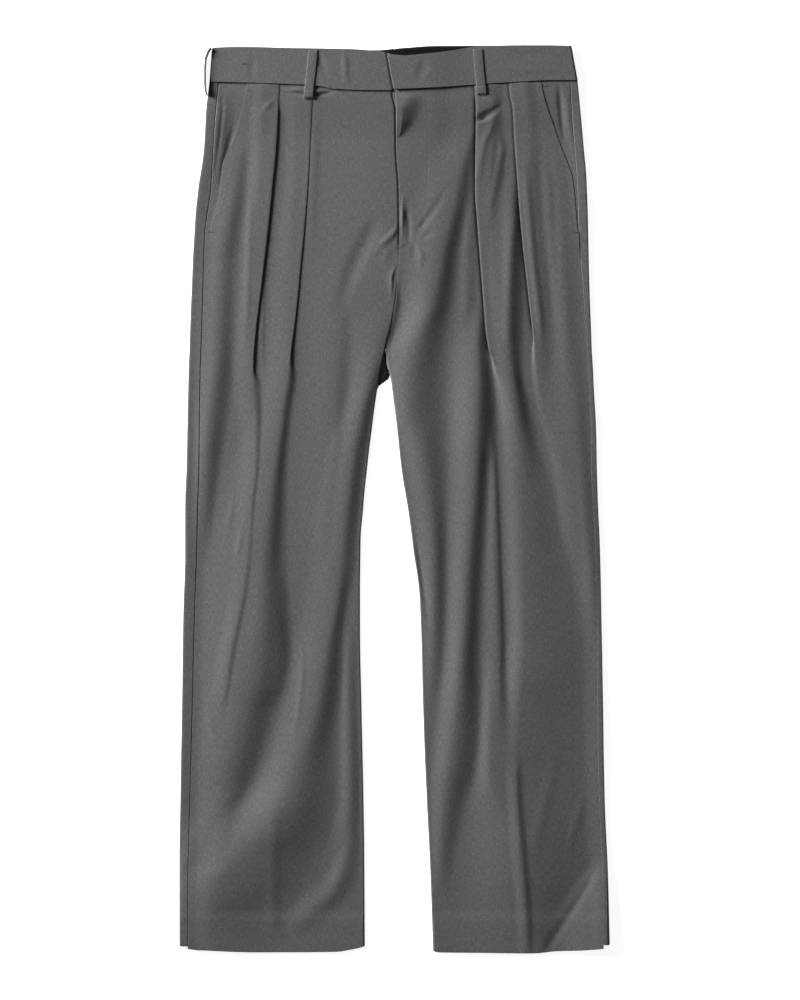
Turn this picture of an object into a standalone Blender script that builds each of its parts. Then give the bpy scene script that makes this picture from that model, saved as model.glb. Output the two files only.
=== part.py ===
"""Pleated dress trousers, laid flat on a table with the front up.

Every piece of cloth is a wall of even thickness along a middle surface, and each middle surface is worked
out row by row, from the waist seam down to the hem.  A row of a front runs from the pocket mouth or side
seam, over the outer and the inner pleat, to the fly or the inseam.  A row of a back runs from the centre
seam or inseam, along the table, round the leg's outer edge and up to the side seam on top.

Tables are in millimetres.  "down" is measured from the top of the waistband, "out" from the middle of the
garment towards the side of the leg that the table belongs to, and heights from the table.  Right and left are
the wearer's: the right leg lies at -X, the waist at +Y.
"""
import math

import bmesh
import bpy
import numpy as np

MM = 0.001

# Cloth
CLOTH = 1.0
BAND_CLOTH = 2.0
LOOP_CLOTH = 1.1
GAP = 0.3

# Heights of the middle surfaces
BACK_Z = CLOTH / 2
VALLEY_Z = 2.4
EDGE_Z = 4.0
WAIST_Z = 4.6
BACK_WAIST_RISE = 1.9
BAND_Z = 6.2
BACK_BAND_Z = 2.4
FACING_Z = 4.2

# Rows down the leg, and the columns of each stretch of a row
ROWS = (45, 56, 70, 88, 108, 128, 150, 172, 193, 208, 222, 236, 256, 280, 305, 328, 348, 360, 372, 383,
        391, 404, 425, 455, 490, 530, 570, 612, 655, 700, 745, 790, 835, 880, 920, 955, 988, 1016, 1038)
WAIST_ROW = ROWS[0]
HEM_ROW = ROWS[-1]
SIDE_COLUMNS = 6
COVER_COLUMNS = 2
PLEAT_ARC_POINTS = 3
BETWEEN_COLUMNS = 3
FLY_COLUMNS = 13
END_COLUMNS = 3
BACK_COLUMNS = 4
ROLL_POINTS = 5
STRIP_COLUMNS = 3
FACING_COLUMNS = 6
BAND_ROWS = 4
BAND_FRONT_COLUMNS = 14
BAND_BACK_COLUMNS = 8
BAND_FACING_ROWS = 3
BAND_FACING_COLUMNS = 12

# Layers over each other
PLEAT_BEND = 0.7
PLEAT_COVER = 1.3
PLEAT_LEAST_COVER = 3
POCKET_BOTTOM = 213
POCKET_LIFT = 1.8
POCKET_UNDER = 12
FLY_LIFT = 1.7
BAND_UNDERLAP = 34
BAND_OVERLAP_LIFT = 2.4
# down, how far the right front reaches under the left one
UNDERLAP = ((40, 34), (180, 34), (205, 26), (222, 13), (231, 3), (235, 0))

# Where a height or a bend fades out: the place where that starts, and how far it goes on
WAIST_HOLD = (58, 52)
WAIST_CURVE = (WAIST_ROW, 60)
HEM_CURVE = (0, 45)
EDGE_ROUND = (0, 25)
CURL_OPEN = (325, 35)
POCKET_LIFT_ACROSS = (14, 24)
POCKET_LIFT_DOWN = (POCKET_BOTTOM + 13, 24)
FLY_LIFT_ACROSS = (40, 28)
FLY_LIFT_DOWN = (240, 45)
BAND_OVERLAP_ACROSS = (BAND_UNDERLAP + 4, 36)

RIGHT = {
    "side": -1,
    # down, outer edge, side seam, fly or inner edge
    "outline": (
        (40, 212, 200.5, 0), (54, 213.3, 202, 1), (72, 216, 204, -2.5), (118, 219, 207.5, -3),
        (164, 225.5, 210, -6), (216, 230, 217, -6.5), (279, 233, 219, -2), (331, 235, 220.5, 6.5),
        (348, 235.5, 221, 9.8), (371, 236.5, 222, 15), (383, 236.8, 222.2, 17.5), (391, 237, 222.5, 18.8),
        (440, 238, 223, 25.5), (486, 239, 223.5, 31), (532, 240.5, 225, 35.5), (578, 240.5, 226, 38.5),
        (647, 242.5, 228.5, 39), (751, 244, 231, 37.5), (866, 246, 234, 35), (946, 247, 236, 34),
        (1038, 247, 237, 33.5),
    ),
    # down, how far the back reaches past the front's inner edge
    "seat": ((348, 0), (371, 5.2), (380, 7), (391, 0)),
    # out, down
    "waist seam": ((-34, 46.8), (0, 48.8), (4, 50.6), (64.5, 49.4), (85, 46), (104.5, 44.3), (212.5, 40.8)),
    "hem": (
        (33.5, 1033.3), (50.5, 1037.3), (73.5, 1039.8), (131, 1040.2), (216, 1038.1), (239, 1035.6),
        (247, 1033.3),
    ),
    "band top": ((-34, 12), (0, 9.6), (10, 7.2), (23, 5.2), (62, 3), (119.5, 2), (177, 0.8), (210.5, 1.7)),
    "back band top": ((0, 2.4), (4.5, 2.9), (23, 4), (62, 3), (119.5, 2), (177, 0.8), (210.5, 1.7)),
    # down, out
    "pocket mouth": (
        (40, 167), (49, 169), (84, 177), (114, 187.5), (137, 197), (167, 200.5), (190, 206), (213, 212),
    ),
    "band edge": (209, 212),
    "band end": (-34, -34),
    # down, foot towards the side, crest, foot towards the fly, height
    "pleats": {
        "outer": (
            (43, 165, 131, 147, 3),
            (118, 170, 135.5, 150.5, 3),
            (160, 175, 139.5, 153.5, 3),
            (200, 180, 143.5, 156, 3),
            (256, 188, 150, 159, 3),
            (298, 190, 155, 162, 3),
            (337, 190, 159.5, 163, 2.6),
            (366, 189, 161.5, 161.5, 1.9),
            (389, 186, 162, 151, 1.4),
            (417, 184, 160, 150, 1.6),
            (445, 181, 159.5, 151.5, 1.2),
            (480, 181, 159.5, 153.5, 0.8),
            (521, 184, 164, 158, 0.7),
            (580, 188, 168, 162, 0.5),
            (620, 192, 173, 166, 0.7),
            (660, 198, 180.5, 173, 0.9),
            (700, 206, 189, 181, 1),
            (740, 214, 195, 187, 0.7),
            (790, 226, 206, 198, 0),
            (840, 234, 223, 216, 0),
            (1038, 236, 225, 218, 0),
        ),
        "inner": (
            (43, 126, 93, 109, 3),
            (118, 126, 96.5, 111.5, 3),
            (193, 134, 101.5, 113.5, 3),
            (256, 143, 107.5, 116, 3),
            (298, 148, 111.5, 117, 3),
            (348, 152, 118, 118.5, 2.6),
            (380, 156, 122, 111, 2.3),
            (406, 160, 127, 114, 2.3),
            (440, 172, 132, 118, 2.5),
            (480, 192, 138, 121, 3.1),
            (521, 206, 143.5, 122, 3.7),
            (560, 220, 148, 122, 4.2),
            (600, 234, 153, 121, 4.7),
            (640, 240, 158, 118.5, 5.3),
            (680, 240, 163.5, 116, 5.9),
            (720, 240, 169, 118, 6),
            (760, 240, 175, 127, 5.3),
            (800, 240, 184, 137, 4.7),
            (840, 240, 192, 153, 3.6),
            (880, 240, 200, 170, 2),
            (915, 240, 204, 182, 0.7),
            (950, 240, 206, 188, 0),
            (1038, 240, 206, 188, 0),
        ),
    },
    "folds": {
        "pocket": (
            (110, 206, 180, 166, 0),
            (140, 212, 182, 166, 0.6),
            (160, 216, 184.5, 166, 1.1),
            (200, 222, 191, 168, 1.9),
            (240, 227, 198, 172, 2.3),
            (290, 230, 201.5, 176, 2.7),
            (340, 232, 204, 179, 2.9),
            (380, 232, 207, 183, 3.2),
            (440, 233, 213.5, 190, 3.2),
            (480, 233, 216, 197, 2.4),
            (520, 234, 218, 203, 1.6),
            (560, 234, 219.5, 208, 0.7),
            (595, 234, 221, 212, 0),
        ),
        "thigh": (
            (250, 105, 62, 50, 0),
            (300, 105, 64, 49, 0.6),
            (340, 105, 65, 47, 0.9),
            (400, 108, 68.5, 50, 1.1),
            (440, 108, 69, 55, 1),
            (480, 110, 75, 60, 0.9),
            (520, 112, 80, 65, 0.8),
            (560, 112, 85, 69, 0.6),
            (600, 114, 90, 74, 0),
        ),
        "pleat edge": (
            (590, 165, 134, 119, 0),
            (650, 172, 135, 118, 1.4),
            (700, 176, 132, 116.5, 1.8),
            (725, 176, 135, 119.5, 1.5),
            (760, 180, 143, 128, 0),
        ),
        "inner leg": (
            (300, 60, 14, -12, 0),
            (343, 58, 20, -2, 1.6),
            (383, 56, 29, 12, 2.3),
            (417, 62, 37, 21, 2.6),
            (440, 72, 42, 25, 2.8),
            (480, 84, 49.5, 31, 2.9),
            (520, 92, 54.5, 36, 2.9),
            (560, 98, 59, 40, 2.7),
            (600, 104, 63, 43, 2.6),
            (640, 110, 67.5, 52, 2.6),
            (680, 120, 75.5, 56, 3.2),
            (720, 130, 82.5, 57, 4),
            (760, 140, 90, 61, 4.3),
            (800, 150, 102, 64, 4.8),
            (830, 160, 112, 61, 5.5),
            (860, 176, 123, 58, 6.3),
            (880, 196, 134, 57, 6.8),
            (900, 214, 147, 59, 6.8),
            (920, 230, 164, 65, 6.2),
            (940, 240, 184, 74, 5.4),
            (960, 250, 200, 84, 4.6),
            (985, 252, 206, 100, 3),
            (1015, 252, 206, 116, 1.6),
            (1043, 252, 206, 120, 1.2),
        ),
        "hem streak": (
            (660, 58, 50, 40, 0),
            (700, 60, 52, 41, 0.6),
            (760, 62, 53, 40, 1.1),
            (845, 64, 51, 38, 1.5),
            (900, 72, 54, 38, 1.6),
            (940, 84, 60, 38, 1.8),
            (960, 96, 68, 42, 2),
            (980, 110, 82, 54, 1.8),
            (1000, 124, 100, 72, 1),
            (1020, 134, 114, 88, 0),
        ),
    },
}

LEFT = {
    "side": 1,
    # down, outer edge, side seam, fly or inner edge
    "outline": (
        (40, 210.5, 202.5, 0), (72, 214, 204, 2.5), (118, 218.5, 207.5, 3), (164, 222, 210.5, 6),
        (216, 223.5, 212.5, 6.5), (279, 225, 217, 2), (331, 227, 220.5, -6.5), (348, 227.5, 221.5, -9.5),
        (360, 228.3, 222.2, -8.3), (371, 229, 223, -6.5), (383, 229.5, 223.5, -3.6), (394, 230, 224, -2.3),
        (440, 232.5, 226, 3.5), (486, 233.5, 226.5, 8.5), (532, 235, 229, 16), (578, 237, 231, 22),
        (647, 238.5, 233, 30), (751, 240.5, 233.5, 33), (866, 242.5, 235.5, 37.5), (946, 246, 239, 41.5),
        (1038, 248, 240.5, 44.5),
    ),
    # down, how far the back reaches past the front's inner edge
    "seat": ((348, 0), (360, 1.2), (375, 3.8), (383, 0)),
    # out, down
    "waist seam": ((0, 49.4), (37, 48), (93, 44.2), (145, 40.9), (193, 39.1), (211.5, 39.1)),
    "hem": (
        (44.5, 1039), (53, 1040.4), (103.5, 1040.8), (156.5, 1041.1), (184, 1039), (237, 1035.6),
        (248, 1031),
    ),
    "band top": (
        (-7.5, 12), (7, 11.3), (30, 9.5), (53, 6.9), (76, 3.5), (87.5, 1.5), (104.5, -0.2), (168, -1.1),
        (203.5, -0.6),
    ),
    "back band top": ((0, 2.4), (18.5, 0.9), (53, -0.9), (122, -1.1), (203.5, -0.8)),
    # down, out
    "pocket mouth": (
        (40, 168), (61, 172), (90, 183), (113, 191), (133, 199), (158, 206), (190, 209), (213, 211),
    ),
    "band edge": (204, 211),
    "band end": (-7.5, 0),
    # down, foot towards the side, crest, foot towards the fly, height
    "pleats": {
        "outer": (
            (43, 162, 132, 147, 3),
            (58, 164, 133.5, 148, 3),
            (75, 167, 137, 151, 3),
            (100, 170, 138.3, 152, 3),
            (141, 175, 141.3, 154, 3),
            (180, 179, 144, 156, 3),
            (220, 183, 147.5, 158, 3),
            (260, 187, 152, 160.5, 3),
            (300, 190, 156.5, 162, 3),
            (330, 192, 160, 161.5, 2.6),
            (350, 193, 162, 158, 2),
            (366, 194, 164, 157, 1.4),
            (406, 197, 171, 160.5, 0.9),
            (452, 203, 182.5, 171.5, 0.6),
            (498, 209, 193, 183, 0.5),
            (555, 214, 200, 188.5, 0.3),
            (636, 219.5, 204.5, 193, 0),
            (1038, 225.5, 204.5, 193, 0),
        ),
        "inner": (
            (43, 128, 92.5, 108.5, 3),
            (80, 126, 94.5, 110, 3),
            (117, 128, 94, 108.5, 3),
            (160, 128, 93.7, 108, 3),
            (200, 128, 96, 108.5, 3),
            (240, 128, 99, 109.5, 3),
            (290, 130, 103, 111.5, 3),
            (320, 132, 105.3, 111.8, 3),
            (338, 134, 107.5, 112, 3),
            (364, 141, 115, 112.5, 2.2),
            (394, 150, 127, 114.5, 1.9),
            (435, 158, 136, 117, 1.7),
            (470, 172, 141.5, 118.5, 2),
            (500, 182, 144, 120.5, 2.4),
            (535, 192, 146.5, 122, 2.7),
            (570, 200, 148, 123.5, 2.9),
            (607, 212, 149, 125, 3.1),
            (640, 222, 149.5, 127, 3.2),
            (680, 234, 149.5, 128, 3.4),
            (722, 238, 147.5, 125, 3.5),
            (745, 239, 146, 126, 2.6),
            (780, 240, 144, 127, 1.2),
            (810, 240, 142, 128, 0.5),
            (840, 240, 140, 128, 0),
            (1043, 240, 140, 128, 0),
        ),
    },
    "folds": {
        "fly": (
            (92, 95, 88, 60, 0),
            (120, 94, 82, 40, 1.4),
            (140, 93, 76, 30, 2.1),
            (160, 91, 71.5, 24, 2.5),
            (180, 88, 68, 20, 2.8),
            (200, 83, 63.5, 16, 3.1),
            (220, 79, 59, 13, 3.3),
            (240, 75.5, 54.5, 10, 3.4),
            (260, 73.5, 51, 7, 3.7),
            (280, 71.5, 46, 4, 4.1),
            (300, 68.5, 41, 1, 4.5),
            (320, 65.5, 36, -2, 4.7),
            (340, 63.5, 31.5, -6, 4.6),
            (360, 62.5, 28, -8, 4.4),
            (383, 62, 24, -6, 4),
            (417, 61.5, 24, -2, 3.6),
            (440, 61.5, 31, 4, 3.2),
            (480, 62, 37.5, 10, 2.9),
            (520, 62, 41.5, 16, 2.6),
            (560, 62, 44, 22, 2.6),
            (600, 61.5, 46, 28, 2.3),
            (640, 61, 46, 31, 2),
            (680, 59.5, 46, 32, 1.4),
            (720, 57, 44, 33, 0.7),
            (760, 54, 43, 34, 0),
        ),
        "beside inner pleat": (
            (170, 94, 88, 80, 0),
            (200, 95, 87, 79, 0.5),
            (240, 96, 84, 75, 0.7),
            (280, 95, 84, 73, 0.7),
            (320, 92, 80, 70, 0.5),
            (350, 90, 78, 68, 0),
        ),
        "middle": (
            (300, 103, 96, 84, 0),
            (320, 103.5, 96.5, 78, 1.2),
            (340, 105.5, 96.5, 68, 2.4),
            (360, 111, 96, 62, 3.4),
            (380, 114.5, 96.5, 61, 4.2),
            (400, 118, 95, 60, 4.9),
            (420, 119, 94.5, 60, 5.3),
            (440, 119, 94, 60, 5.3),
            (460, 117, 93.5, 60, 4.9),
            (480, 112, 93, 60, 4.2),
            (500, 110, 92, 60, 3.9),
            (540, 108, 89, 60, 3.7),
            (580, 106, 85.5, 60, 3.7),
            (620, 103.5, 82.5, 59, 3.7),
            (660, 101.5, 80.5, 58, 3.9),
            (700, 100, 77.5, 56, 4.2),
            (740, 103, 75, 50, 4.5),
            (780, 106, 71, 45, 4.2),
            (820, 103, 66, 41, 3.9),
            (860, 88, 60, 39, 2.7),
            (900, 78, 56, 40, 1.9),
            (940, 71, 54, 41, 1),
            (975, 68, 53, 42, 0),
        ),
        "narrow": (
            (440, 119, 112, 107, 0),
            (480, 121.5, 113, 107, 1.1),
            (540, 124, 115.5, 105, 1.3),
            (600, 126, 117, 102, 1.4),
            (660, 128.5, 119, 100, 1.5),
            (720, 131, 119.5, 98, 1.6),
            (760, 134, 119.5, 97, 1.1),
            (795, 137, 120, 97, 0),
        ),
        "shin": (
            (690, 240, 114, 100, 0),
            (722, 240, 113, 99, 0.8),
            (745, 240, 112, 97, 1.6),
            (780, 240, 111, 96, 2.8),
            (808, 240, 111, 94, 3.4),
            (840, 240, 113, 89, 3.8),
            (865, 240, 122, 84, 4.1),
            (895, 240, 138, 77, 4.7),
            (923, 240, 142, 74, 5.2),
            (950, 236, 145, 73, 5),
            (981, 222, 149, 70, 4),
            (1012, 208, 152, 64, 3),
            (1043, 200, 156, 62, 2.4),
        ),
        "front": (
            (150, 141, 134, 116, 0),
            (176, 143, 135, 112, 1.2),
            (200, 145.5, 136, 110, 2.2),
            (220, 147, 135, 108, 2.8),
            (245, 149.5, 134, 107, 3.2),
            (290, 151, 131.5, 109, 3.3),
            (320, 149.5, 131, 111, 3.3),
            (348, 148.5, 132.5, 113, 3),
            (383, 150, 137, 115.5, 2.6),
            (400, 155, 139.5, 117, 2.6),
            (420, 160, 142, 118, 2.6),
            (440, 165, 146, 119, 2),
            (470, 172, 150, 122, 1),
            (500, 180, 154, 126, 0),
        ),
        "side": (
            (118, 208, 182, 172, 0),
            (176, 213, 187, 172, 0.5),
            (210, 217, 191, 174, 1.1),
            (279, 220, 195, 178, 1.9),
            (348, 223, 200, 178, 2),
            (400, 226, 206, 170, 2.1),
            (452, 229, 209, 170, 2.4),
            (500, 232, 213, 180, 2.4),
            (560, 236, 218, 190, 2),
            (607, 238, 224, 202, 1.4),
            (650, 238, 226, 206, 0.6),
            (690, 238, 226, 208, 0),
        ),
        "hem corner": (
            (935, 262, 240, 230, 0),
            (950, 262, 238, 216, 1.6),
            (965, 264, 235, 203, 2.6),
            (985, 268, 235, 190, 3),
            (1005, 272, 235, 180, 3.2),
            (1043, 272, 235, 170, 3.4),
        ),
    },
}

FRONT_LOOPS = {
    # name: places from the top end to the bottom one, as x, down, height
    "belt_loop_front_right": ((-92.6, 4.5, 8.2), (-93.2, 9, 8.9), (-94.6, 24, 9.3), (-96.6, 42, 9.6),
                              (-97.8, 53, 9.5), (-98.3, 59.5, 9)),
    "belt_loop_front_left": ((96.2, 3.6, 8.2), (96.5, 8, 8.9), (97.6, 22, 9.3), (99.2, 38, 9.6),
                             (100.2, 49, 9.5), (100.6, 55.2, 9)),
}
# places down the side loop as x, down
SIDE_LOOP = ((-210.3, 2), (-214.2, 9), (-216.4, 18), (-217, 30), (-217, 42), (-216.2, 51), (-215.3, 56))
SIDE_LOOP_HEIGHT = 5.3
HIDDEN_LOOPS = {"belt_loop_side_left": 188, "belt_loop_back": 0}
HIDDEN_LOOP_ENDS = (3.5, 57)
LOOP_WIDTH = 11
BAND_FACING_ENDS = (-32, 100)
BAND_FACING_DOWN = (1, 22)
STANDING_LOOP_WIDTH = 9.8

CLOTH_GREY = (0.11, 0.11, 0.115, 1)
LINING_GREY = (0.012, 0.012, 0.014, 1)
CLOTH_ROUGHNESS = 0.75
SHARP_DEGREES = 40


def smooth(share):
    """Eases from 0 to 1."""
    share = np.clip(share, 0, 1)
    return share * share * (3 - 2 * share)


def fade(place, start, length):
    """1 up to the start, easing to 0 over the length after it."""
    return 1 - smooth((place - start) / length)


def curve(places, values):
    """A smooth function through the points that doesn't overshoot between them."""
    places = np.array(places, float)
    values = np.array(values, float)
    step = np.diff(places)
    slope = np.diff(values) / step
    product = slope[:-1] * slope[1:]
    total = np.where(product > 0, slope[:-1] + slope[1:], 1)
    tangent = np.concatenate([slope[:1], np.where(product > 0, 2 * product / total, 0), slope[-1:]])

    def at(place):
        place = np.clip(place, places[0], places[-1])
        left = np.clip(np.searchsorted(places, place, side="right") - 1, 0, len(step) - 1)
        share = (place - places[left]) / step[left]
        start = values[left] + share * step[left] * tangent[left]
        end = values[left + 1] + (share - 1) * step[left] * tangent[left + 1]
        return start + (end - start) * smooth(share)

    return at


def columns(table):
    """One curve for each column of a table after its first."""
    first, *others = zip(*table)
    return [curve(first, column) for column in others]


def waist_share(down):
    """1 beside the waistband, where the cloth is held up by what lies under it, and 0 from the hips down."""
    return fade(down, *WAIST_HOLD)


class Fold:
    """A ridge across the leg: it rises from a foot to a crest and falls to another foot."""

    def __init__(self, table):
        self.first = table[0][0]
        self.last = table[-1][0]
        self.side_foot, self.crest, self.fly_foot, self.height = columns(table)

    def lift(self, out, down):
        side_foot, crest, fly_foot = self.side_foot(down), self.crest(down), self.fly_foot(down)
        away = np.where(out > crest, (out - crest) / (side_foot - crest), (crest - out) / (crest - fly_foot))
        ridge = self.height(down) * (1 + np.cos(math.pi * np.clip(away, 0, 1))) / 2
        return np.where((down >= self.first) & (down <= self.last), ridge, 0)


class Pleat(Fold):
    """A fold whose crest laps over its foot on the fly side, so that the cloth lies there three times."""

    def ends(self, down):
        """Where the upper bend of the Z starts and where the lower one ends."""
        return self.crest(down) + PLEAT_BEND, self.fly_foot(down) - PLEAT_BEND

    def cover(self, down):
        """How far out from the crest the upper layer keeps its full height, clear of the lower bend."""
        upper, lower = self.ends(down)
        return np.maximum(upper, lower + PLEAT_COVER)

    def slope(self, out, down):
        """How far the cloth is lifted on its way from the side up to the crest."""
        foot = self.side_foot(down)
        return self.height(down) * smooth((foot - out) / (foot - self.cover(down)))

    def bends(self, down, count):
        """The Z itself, as places out and heights: two equal arcs, joined by the line that touches both."""
        upper, lower = self.ends(down)
        height = max(float(self.height(down)), 0.02)
        across = upper - lower
        widest = 0.98 * (across ** 2 + height ** 2) / (4 * height)
        radius = widest if across > 0 else min(PLEAT_BEND, widest)
        straight = math.sqrt(max(across ** 2 + height ** 2 - 4 * radius * height, 0))
        turn = math.atan2(2 * radius, straight) - math.atan2(2 * radius - height, across)
        angles = np.linspace(0, turn, count)
        first = (upper - radius * np.sin(angles), height - radius * (1 - np.cos(angles)))
        second = (lower + radius * np.sin(angles[::-1]), radius * (1 - np.cos(angles[::-1])))
        return np.concatenate([first[0], second[0]]), np.concatenate([first[1], second[1]])


class Leg:
    """The curves of one side of the trousers, and the height of its upper cloth."""

    def __init__(self, tables):
        self.side = tables["side"]
        self.edge, self.seam, self.inner = columns(tables["outline"])
        self.seat, = columns(tables["seat"])
        self.waist_seam, = columns(sorted(tables["waist seam"]))
        self.hem, = columns(sorted(tables["hem"]))
        self.band_top, = columns(tables["band top"])
        self.back_band_top, = columns(tables["back band top"])
        self.pocket_mouth, = columns(tables["pocket mouth"])
        self.band_edge = tables["band edge"]
        self.band_end = tables["band end"]
        self.outer_pleat = Pleat(tables["pleats"]["outer"])
        self.inner_pleat = Pleat(tables["pleats"]["inner"])
        self.folds = [Fold(table) for table in tables["folds"].values()]

    def rest(self, out, down):
        """Height without the pleats: low where the front lies on the back, rounded up at the side."""
        height = VALLEY_Z + (EDGE_Z - VALLEY_Z) * fade(self.edge(down) - out, *EDGE_ROUND)
        height = height + (WAIST_Z - height) * waist_share(down)
        return height + sum(fold.lift(out, down) for fold in self.folds)

    def top(self, out, down):
        """Height beside the side seam, outside both pleats."""
        return self.rest(out, down) + self.outer_pleat.slope(out, down) + self.inner_pleat.slope(out, down)

    def down(self, row, out):
        """A row bends with the waist seam near the waist and with the hem near the hem."""
        near_waist = fade(row, *WAIST_CURVE)
        near_hem = fade(HEM_ROW - row, *HEM_CURVE)
        row = row + (self.hem(out) - HEM_ROW) * near_hem
        return row + (self.waist_seam(out) + GAP - WAIST_ROW) * near_waist

    def point(self, out, down, height):
        return np.stack(np.broadcast_arrays(self.side * out, -down, height), axis=-1)


def spread(start, end, count):
    """Places from start towards end, without end itself."""
    return start + (end - start) * np.arange(count) / count


def spread_to_pleat(start, pleat, row, count):
    """Places from start to a pleat's crest, without it: the last few over the pleat's lower layers."""
    upper, _ = pleat.ends(row)
    cover = max(pleat.cover(row), upper + PLEAT_LEAST_COVER)
    return np.concatenate([spread(start, cover, count), spread(cover, upper, COVER_COLUMNS)])


def fly_reach(leg, down):
    """How far the right front goes on under the left one."""
    reach, = columns(UNDERLAP)
    return reach(down) if leg.side < 0 else 0


def front_lift(leg, out, down):
    """What lifts the front: the pocket facing under its slanted edge, and the underlap under the fly."""
    inside_mouth = leg.pocket_mouth(down) - out
    lift = POCKET_LIFT * fade(inside_mouth, *POCKET_LIFT_ACROSS) * fade(down, *POCKET_LIFT_DOWN)
    if leg.side > 0:
        lift = lift + FLY_LIFT * fade(out, *FLY_LIFT_ACROSS) * fade(down, *FLY_LIFT_DOWN)
    return lift


def front_row(leg, row):
    """One row of a front, from its side edge to its fly or inner edge."""
    outer, inner = leg.outer_pleat, leg.inner_pleat
    start = leg.pocket_mouth(row) if row < POCKET_BOTTOM else leg.seam(row) - GAP / 2
    end = leg.inner(row) + GAP / 2 - fly_reach(leg, row)
    first_out, first_z = outer.bends(row, PLEAT_ARC_POINTS)
    second_out, second_z = inner.bends(row, PLEAT_ARC_POINTS)
    curl = 1 - fade(row, *CURL_OPEN)
    drop = leg.rest(end, row) - CLOTH - GAP
    bend_out = end + CLOTH / 2 * curl
    side_out = spread_to_pleat(start, outer, row, SIDE_COLUMNS)
    between_out = spread_to_pleat(first_out[-1], inner, row, BETWEEN_COLUMNS + 1)[1:]
    fly_out = spread(second_out[-1], bend_out + drop, FLY_COLUMNS + 1)[1:]
    share = np.arange(END_COLUMNS + 1) / END_COLUMNS
    quarter = share * math.pi / 2
    end_out = bend_out + drop * (1 - share - (np.sin(quarter) - share) * curl)
    end_z = -curl * drop * (1 - np.cos(quarter))

    # Each stretch: places out, heights above the ground, and where that ground is measured.  The cloth
    # under a pleat lies level with the pleat's crest, and the curled end is measured from where it starts.
    stretches = (
        (side_out, outer.slope(side_out, row) + inner.slope(side_out, row), side_out),
        (first_out, first_z + inner.slope(first_out, row), np.minimum(first_out, outer.crest(row))),
        (between_out, inner.slope(between_out, row), np.minimum(between_out, outer.crest(row))),
        (second_out, second_z, np.minimum(second_out, inner.crest(row))),
        (fly_out, np.zeros_like(fly_out), np.minimum(fly_out, inner.crest(row))),
        (end_out, end_z, np.full_like(end_out, bend_out + drop)),
    )
    out, lift, ground = (np.concatenate(parts) for parts in zip(*stretches))
    down = leg.down(row, out)
    return leg.point(out, down, leg.rest(ground, down) + lift + front_lift(leg, out, down))


def back_row(leg, row):
    """One row of a back: along the table from the centre seam or inseam, round the edge, to the side seam."""
    edge = leg.edge(row)
    start = leg.inner(row) - leg.seat(row) + GAP / 2
    bottom = BACK_Z + BACK_WAIST_RISE * waist_share(row)
    radius = (leg.top(edge - CLOTH / 2 - (EDGE_Z - BACK_Z) / 2, row) - bottom) / 2
    middle = edge - CLOTH / 2 - radius
    angle = np.linspace(-math.pi / 2, math.pi / 2, ROLL_POINTS)
    flat_out = spread(start, middle, BACK_COLUMNS)
    roll_out = middle + radius * np.cos(angle)
    seam = leg.seam(row) + GAP / 2
    strip_out = np.append(spread(middle, seam, STRIP_COLUMNS)[1:], seam)
    out = np.concatenate([flat_out, roll_out, strip_out])
    height = np.concatenate([
        np.full(BACK_COLUMNS, bottom),
        bottom + radius * (1 + np.sin(angle)),
        leg.top(strip_out, row),
    ])
    return leg.point(out, leg.down(row, np.full_like(out, edge)), height)


def facing_row(leg, row):
    """One row of a pocket facing, from the side seam to under the pocket mouth."""
    out = np.linspace(leg.seam(row) - GAP / 2, leg.pocket_mouth(row) - POCKET_UNDER, FACING_COLUMNS)
    return leg.point(out, leg.down(row, out), leg.top(out, row))


def band_row(leg, share):
    """One row of a waistband half, share 0 at its seam and 1 at its top: front end, fold, centre back."""
    low_edge, high_edge = leg.band_edge[1], leg.band_edge[0]
    edge = low_edge + (high_edge - low_edge) * share
    end = leg.band_end[1] + (leg.band_end[0] - leg.band_end[1]) * share
    radius = (BAND_Z - BACK_BAND_Z) / 2
    middle = edge - BAND_CLOTH / 2 - radius
    front_out = spread(end, middle, BAND_FRONT_COLUMNS)
    angle = np.linspace(math.pi / 2, -math.pi / 2, ROLL_POINTS)
    roll_out = middle + radius * np.cos(angle)
    back_out = np.append(spread(middle, GAP / 2, BAND_BACK_COLUMNS)[1:], GAP / 2)
    seam_down = leg.waist_seam(edge)
    low = np.concatenate([leg.waist_seam(front_out), np.full(ROLL_POINTS + BAND_BACK_COLUMNS, seam_down)])
    high = np.concatenate([leg.band_top(front_out), np.full(ROLL_POINTS, leg.band_top(edge)),
                           leg.back_band_top(back_out)])
    overlap = BAND_OVERLAP_LIFT * fade(front_out, *BAND_OVERLAP_ACROSS) * (leg.side > 0)
    height = np.concatenate([
        BAND_Z + overlap,
        BACK_BAND_Z + radius * (1 + np.sin(angle)),
        np.full(BAND_BACK_COLUMNS, BACK_BAND_Z),
    ])
    return leg.point(np.concatenate([front_out, roll_out, back_out]), low + (high - low) * share, height)


def band_facing_row(right, left, below_top):
    """One row of the lining inside the back of the waistband, from the right half to the left one."""
    x = np.linspace(*BAND_FACING_ENDS, BAND_FACING_COLUMNS)
    top = np.where(x < 0, right.back_band_top(-x), left.back_band_top(x))
    return np.stack([x, -(top + below_top), np.full_like(x, FACING_Z)], axis=-1)


def clear_scene():
    for thing in list(bpy.data.objects):
        bpy.data.objects.remove(thing)


def material(name, colour):
    made = bpy.data.materials.new(name)
    made.use_nodes = True
    shader = made.node_tree.nodes["Principled BSDF"]
    shader.inputs["Base Color"].default_value = colour
    shader.inputs["Roughness"].default_value = CLOTH_ROUGHNESS
    shader.inputs["Metallic"].default_value = 0
    return made


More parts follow.
